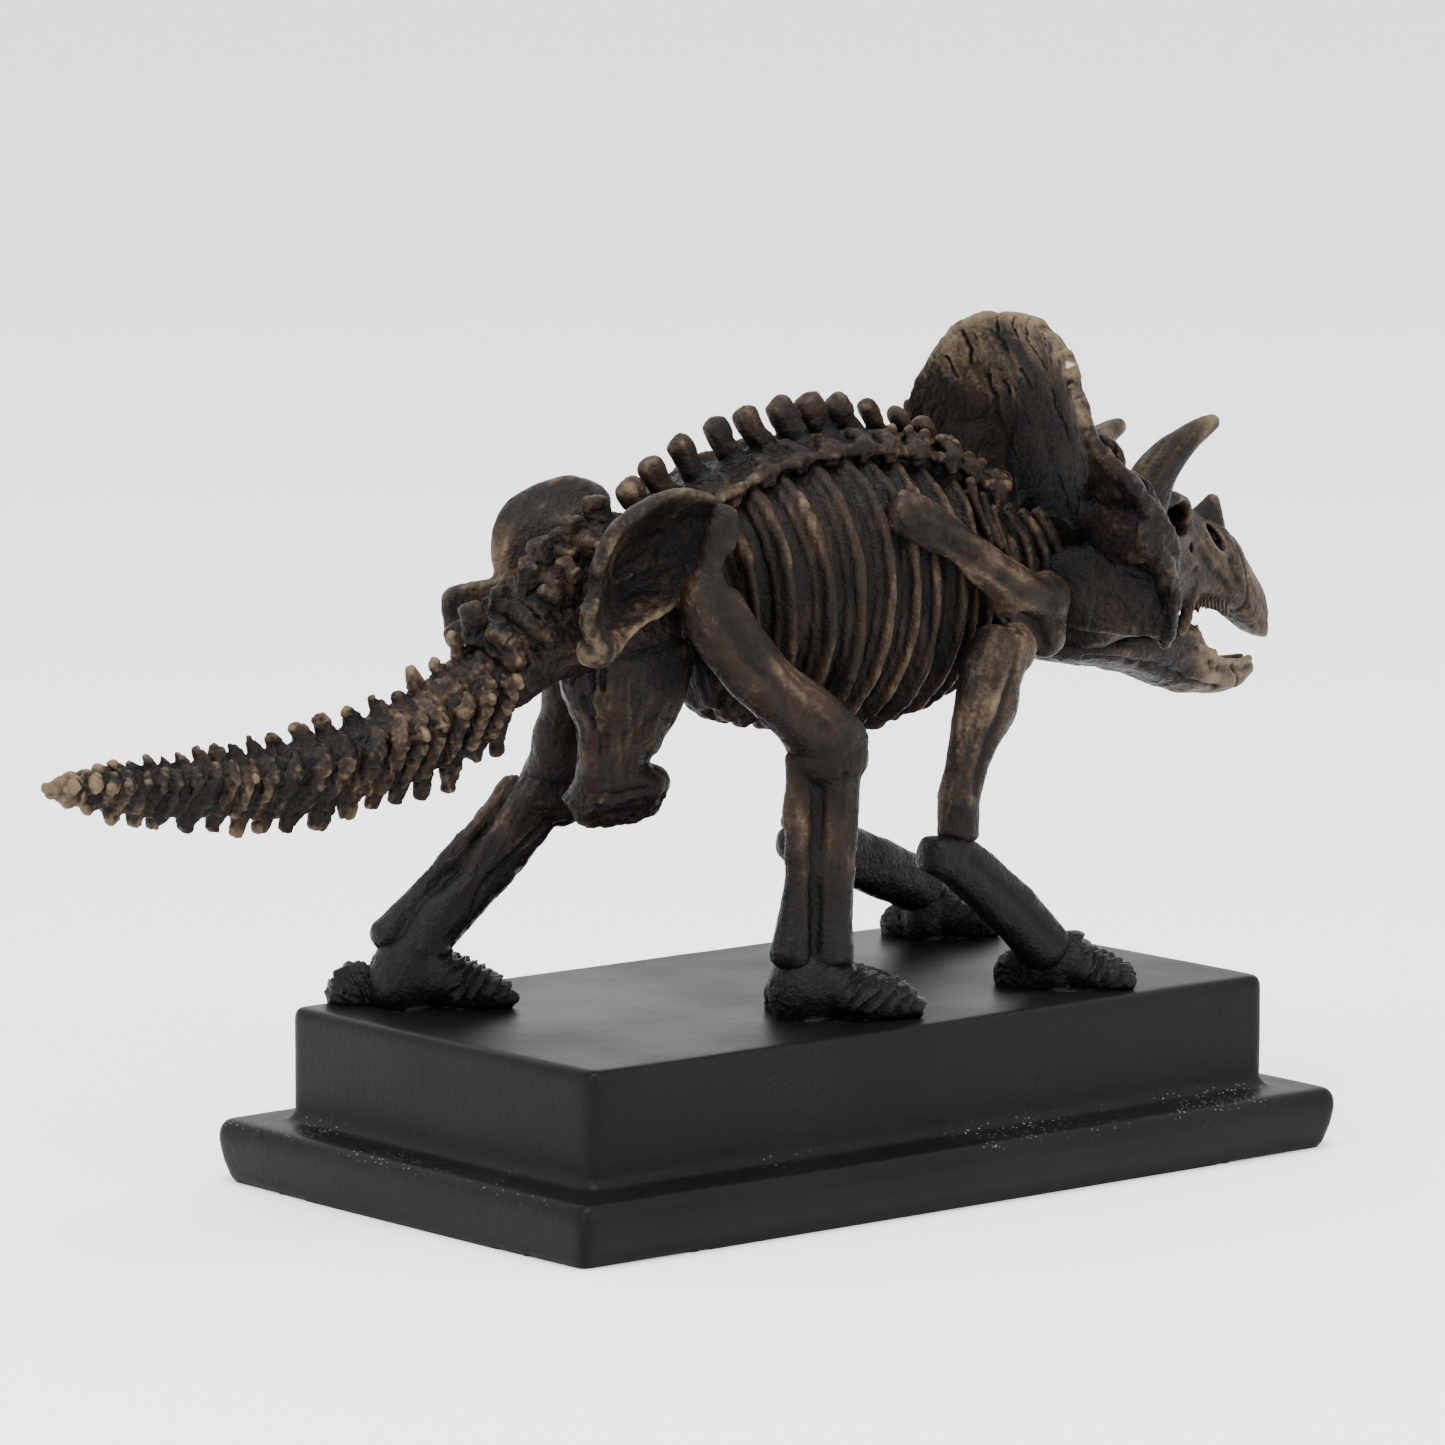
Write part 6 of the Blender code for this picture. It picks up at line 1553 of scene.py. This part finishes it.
def make_stage():
    scene = bpy.context.scene
    data = bpy.data.cameras.new("camera")
    data.lens = CAMERA_LENS
    data.sensor_width = CAMERA_SENSOR
    data.clip_start, data.clip_end = 0.01, 100.0
    camera = bpy.data.objects.new("camera", data)
    camera.location = CAMERA_AT
    camera.rotation_euler = (math.radians(90 - CAMERA_ELEVATION), 0.0, math.radians(CAMERA_AZIMUTH))
    scene.collection.objects.link(camera)
    scene.camera = camera

    mesh = bpy.data.meshes.new("studio_floor")
    reach = 14.0
    mesh.from_pydata([(-reach, -reach, 0), (reach, -reach, 0), (reach, reach, 0), (-reach, reach, 0)], [], [(0, 1, 2, 3)])
    floor = bpy.data.objects.new("studio_floor", mesh)
    scene.collection.objects.link(floor)
    made, tree = new_material("white_paper_sweep")
    shader = add(tree, "ShaderNodeBsdfPrincipled", Base_Color=linear("#fafafa"), Roughness=0.9)
    out = add(tree, "ShaderNodeOutputMaterial")
    tree.links.new(shader.outputs[0], out.inputs["Surface"])
    mesh.materials.append(made)

    world = bpy.data.worlds.new("studio")
    scene.world = world
    world.use_nodes = True
    tree = world.node_tree
    tree.nodes.clear()
    sky = add(tree, "ShaderNodeBackground", Color=linear("#ffffff"), Strength=2.2)
    out = add(tree, "ShaderNodeOutputWorld")
    tree.links.new(sky.outputs[0], out.inputs["Surface"])
    area_light("softbox_above", (-0.3, -0.3, 1.4), (0.0, 0.0, 0.06), 0.9, 26.0, "#ffffff")
    area_light("softbox_left", (-1.5, -0.1, 0.8), (0.0, 0.0, 0.07), 0.9, 14.0, "#f4f7ff")
    area_light("softbox_right", (0.5, -1.5, 0.7), (0.0, 0.0, 0.07), 0.9, 10.0, "#fffaf2")


# Add-on parts.

class StatueSizes(bpy.types.PropertyGroup):
    length: bpy.props.FloatProperty(
        name="Length", description="From the tail's tip to the beak", unit="LENGTH",
        default=CAD_BOX[1][0] - CAD_BOX[0][0],
    )
    height: bpy.props.FloatProperty(
        name="Height", description="From the desk to the top of the shield", unit="LENGTH",
        default=CAD_BOX[1][2] - CAD_BOX[0][2],
    )


class StatueColours(bpy.types.PropertyGroup):
    dark_brown: bpy.props.FloatVectorProperty(
        name="Dark brown", description="Undercoat that shows through the brown", subtype="COLOR", size=4, min=0, max=1, default=linear("#0e0a07"))
    brown: bpy.props.FloatVectorProperty(
        name="Brown", description="Main bone colour", subtype="COLOR", size=4, min=0, max=1, default=linear("#201812"))
    red_brown: bpy.props.FloatVectorProperty(
        name="Red brown", description="Warmer patches", subtype="COLOR", size=4, min=0, max=1, default=linear("#251812"))
    tan: bpy.props.FloatVectorProperty(
        name="Tan", description="Dry-brushed ridges", subtype="COLOR", size=4, min=0, max=1, default=linear("#4f4337"))
    gold: bpy.props.FloatVectorProperty(
        name="Gold", description="Brightest dry-brushed places", subtype="COLOR", size=4, min=0, max=1, default=linear("#73634c"))
    # The wash colour is also the painted shade in hollows and enclosed places.
    wash_and_painted_shade: bpy.props.FloatVectorProperty(
        name="Wash", description="Black left in the hollows", subtype="COLOR", size=4, min=0, max=1, default=linear("#0a0908"))
    # The black colour is also used as painted shade on the shield's lower part and the pubis.
    black: bpy.props.FloatVectorProperty(
        name="Black", description="Feet and lower legs", subtype="COLOR", size=4, min=0, max=1, default=linear("#080809"))
    bare: bpy.props.FloatVectorProperty(
        name="Bare resin", description="Chipped places", subtype="COLOR", size=4, min=0, max=1, default=linear("#b6ad9d"))
    plinth_black: bpy.props.FloatVectorProperty(
        name="Plinth black", description="Plinth", subtype="COLOR", size=4, min=0, max=1, default=linear("#08080a"))
    plinth_grey: bpy.props.FloatVectorProperty(
        name="Plinth grey", description="Paler clouds on the plinth", subtype="COLOR", size=4, min=0, max=1, default=linear("#0d0d0f"))
    dust: bpy.props.FloatVectorProperty(
        name="Dust", description="Specks and scuffs", subtype="COLOR", size=4, min=0, max=1, default=linear("#6c6a66"))


def operator(name, label, text, action):
    """An operator that runs one making step."""
    def execute(self, context):
        action()
        return {"FINISHED"}
    words = {"bl_idname": f"statue.{name}", "bl_label": label, "__doc__": text, "execute": execute}
    return type(f"STATUE_OT_{name}", (bpy.types.Operator,), words)


STEPS = (
    ("plinth", "Plinth", "Mould the two-step plinth", make_plinth),
    ("ribs", "Rib cage", "Cast both sides of the rib cage", make_ribs),
    ("backbone", "Backbone", "Cast the backbone with its spines and plates", make_backbone),
    ("hips", "Hips", "Cast the sacrum, the hip blades and the pubis", make_hips),
    ("tail", "Tail", "Cast the three lengths of the tail", make_tail),
    ("neck", "Neck", "Cast the neck and its ribs", make_neck),
    ("frill", "Shield", "Cast the neck shield with its flakes and cracks", make_frill),
    ("skull", "Skull", "Cast the skull with its eye and nose openings", make_skull),
    ("horns", "Horns", "Cast the brow horns and the nose horn", make_horns),
    ("jaw", "Lower jaw", "Cast the lower jaw and its teeth", make_jaw),
    ("legs", "Legs", "Cast the shoulder blades and the leg bones", make_legs),
    ("feet", "Feet", "Cast the four wrinkled feet", make_feet),
    ("paint", "Paint", "Read the surface and paint every cast", paint_all),
    ("stage", "Stage", "Set the floor, the lights and the camera", make_stage),
)
OPERATORS = [operator(*step) for step in STEPS]


class STATUE_PT_sidebar(bpy.types.Panel):
    """Lists the making steps"""
    bl_idname = "STATUE_PT_sidebar"
    bl_label = "Statue"
    bl_space_type = "VIEW_3D"
    bl_region_type = "UI"
    bl_category = "Statue"

    def draw(self, context):
        for name, label, _, _ in STEPS:
            self.layout.operator(f"statue.{name}", text=label)
        for name in StatueColours.__annotations__:
            self.layout.prop(context.scene.statue_colours, name)


CLASSES = (StatueSizes, StatueColours, *OPERATORS, STATUE_PT_sidebar)


def register():
    for kind in CLASSES:
        bpy.utils.register_class(kind)
    bpy.types.Scene.statue_sizes = bpy.props.PointerProperty(type=StatueSizes)
    bpy.types.Scene.statue_colours = bpy.props.PointerProperty(type=StatueColours)


def unregister():
    del bpy.types.Scene.statue_colours
    del bpy.types.Scene.statue_sizes
    for kind in reversed(CLASSES):
        bpy.utils.unregister_class(kind)


def main():
    import time
    register()
    for name, _, _, _ in STEPS:
        began = time.time()
        getattr(bpy.ops.statue, name)()
        print(f"step {name} {time.time() - began:.1f}s", flush=True)


if __name__ == "__main__":
    main()
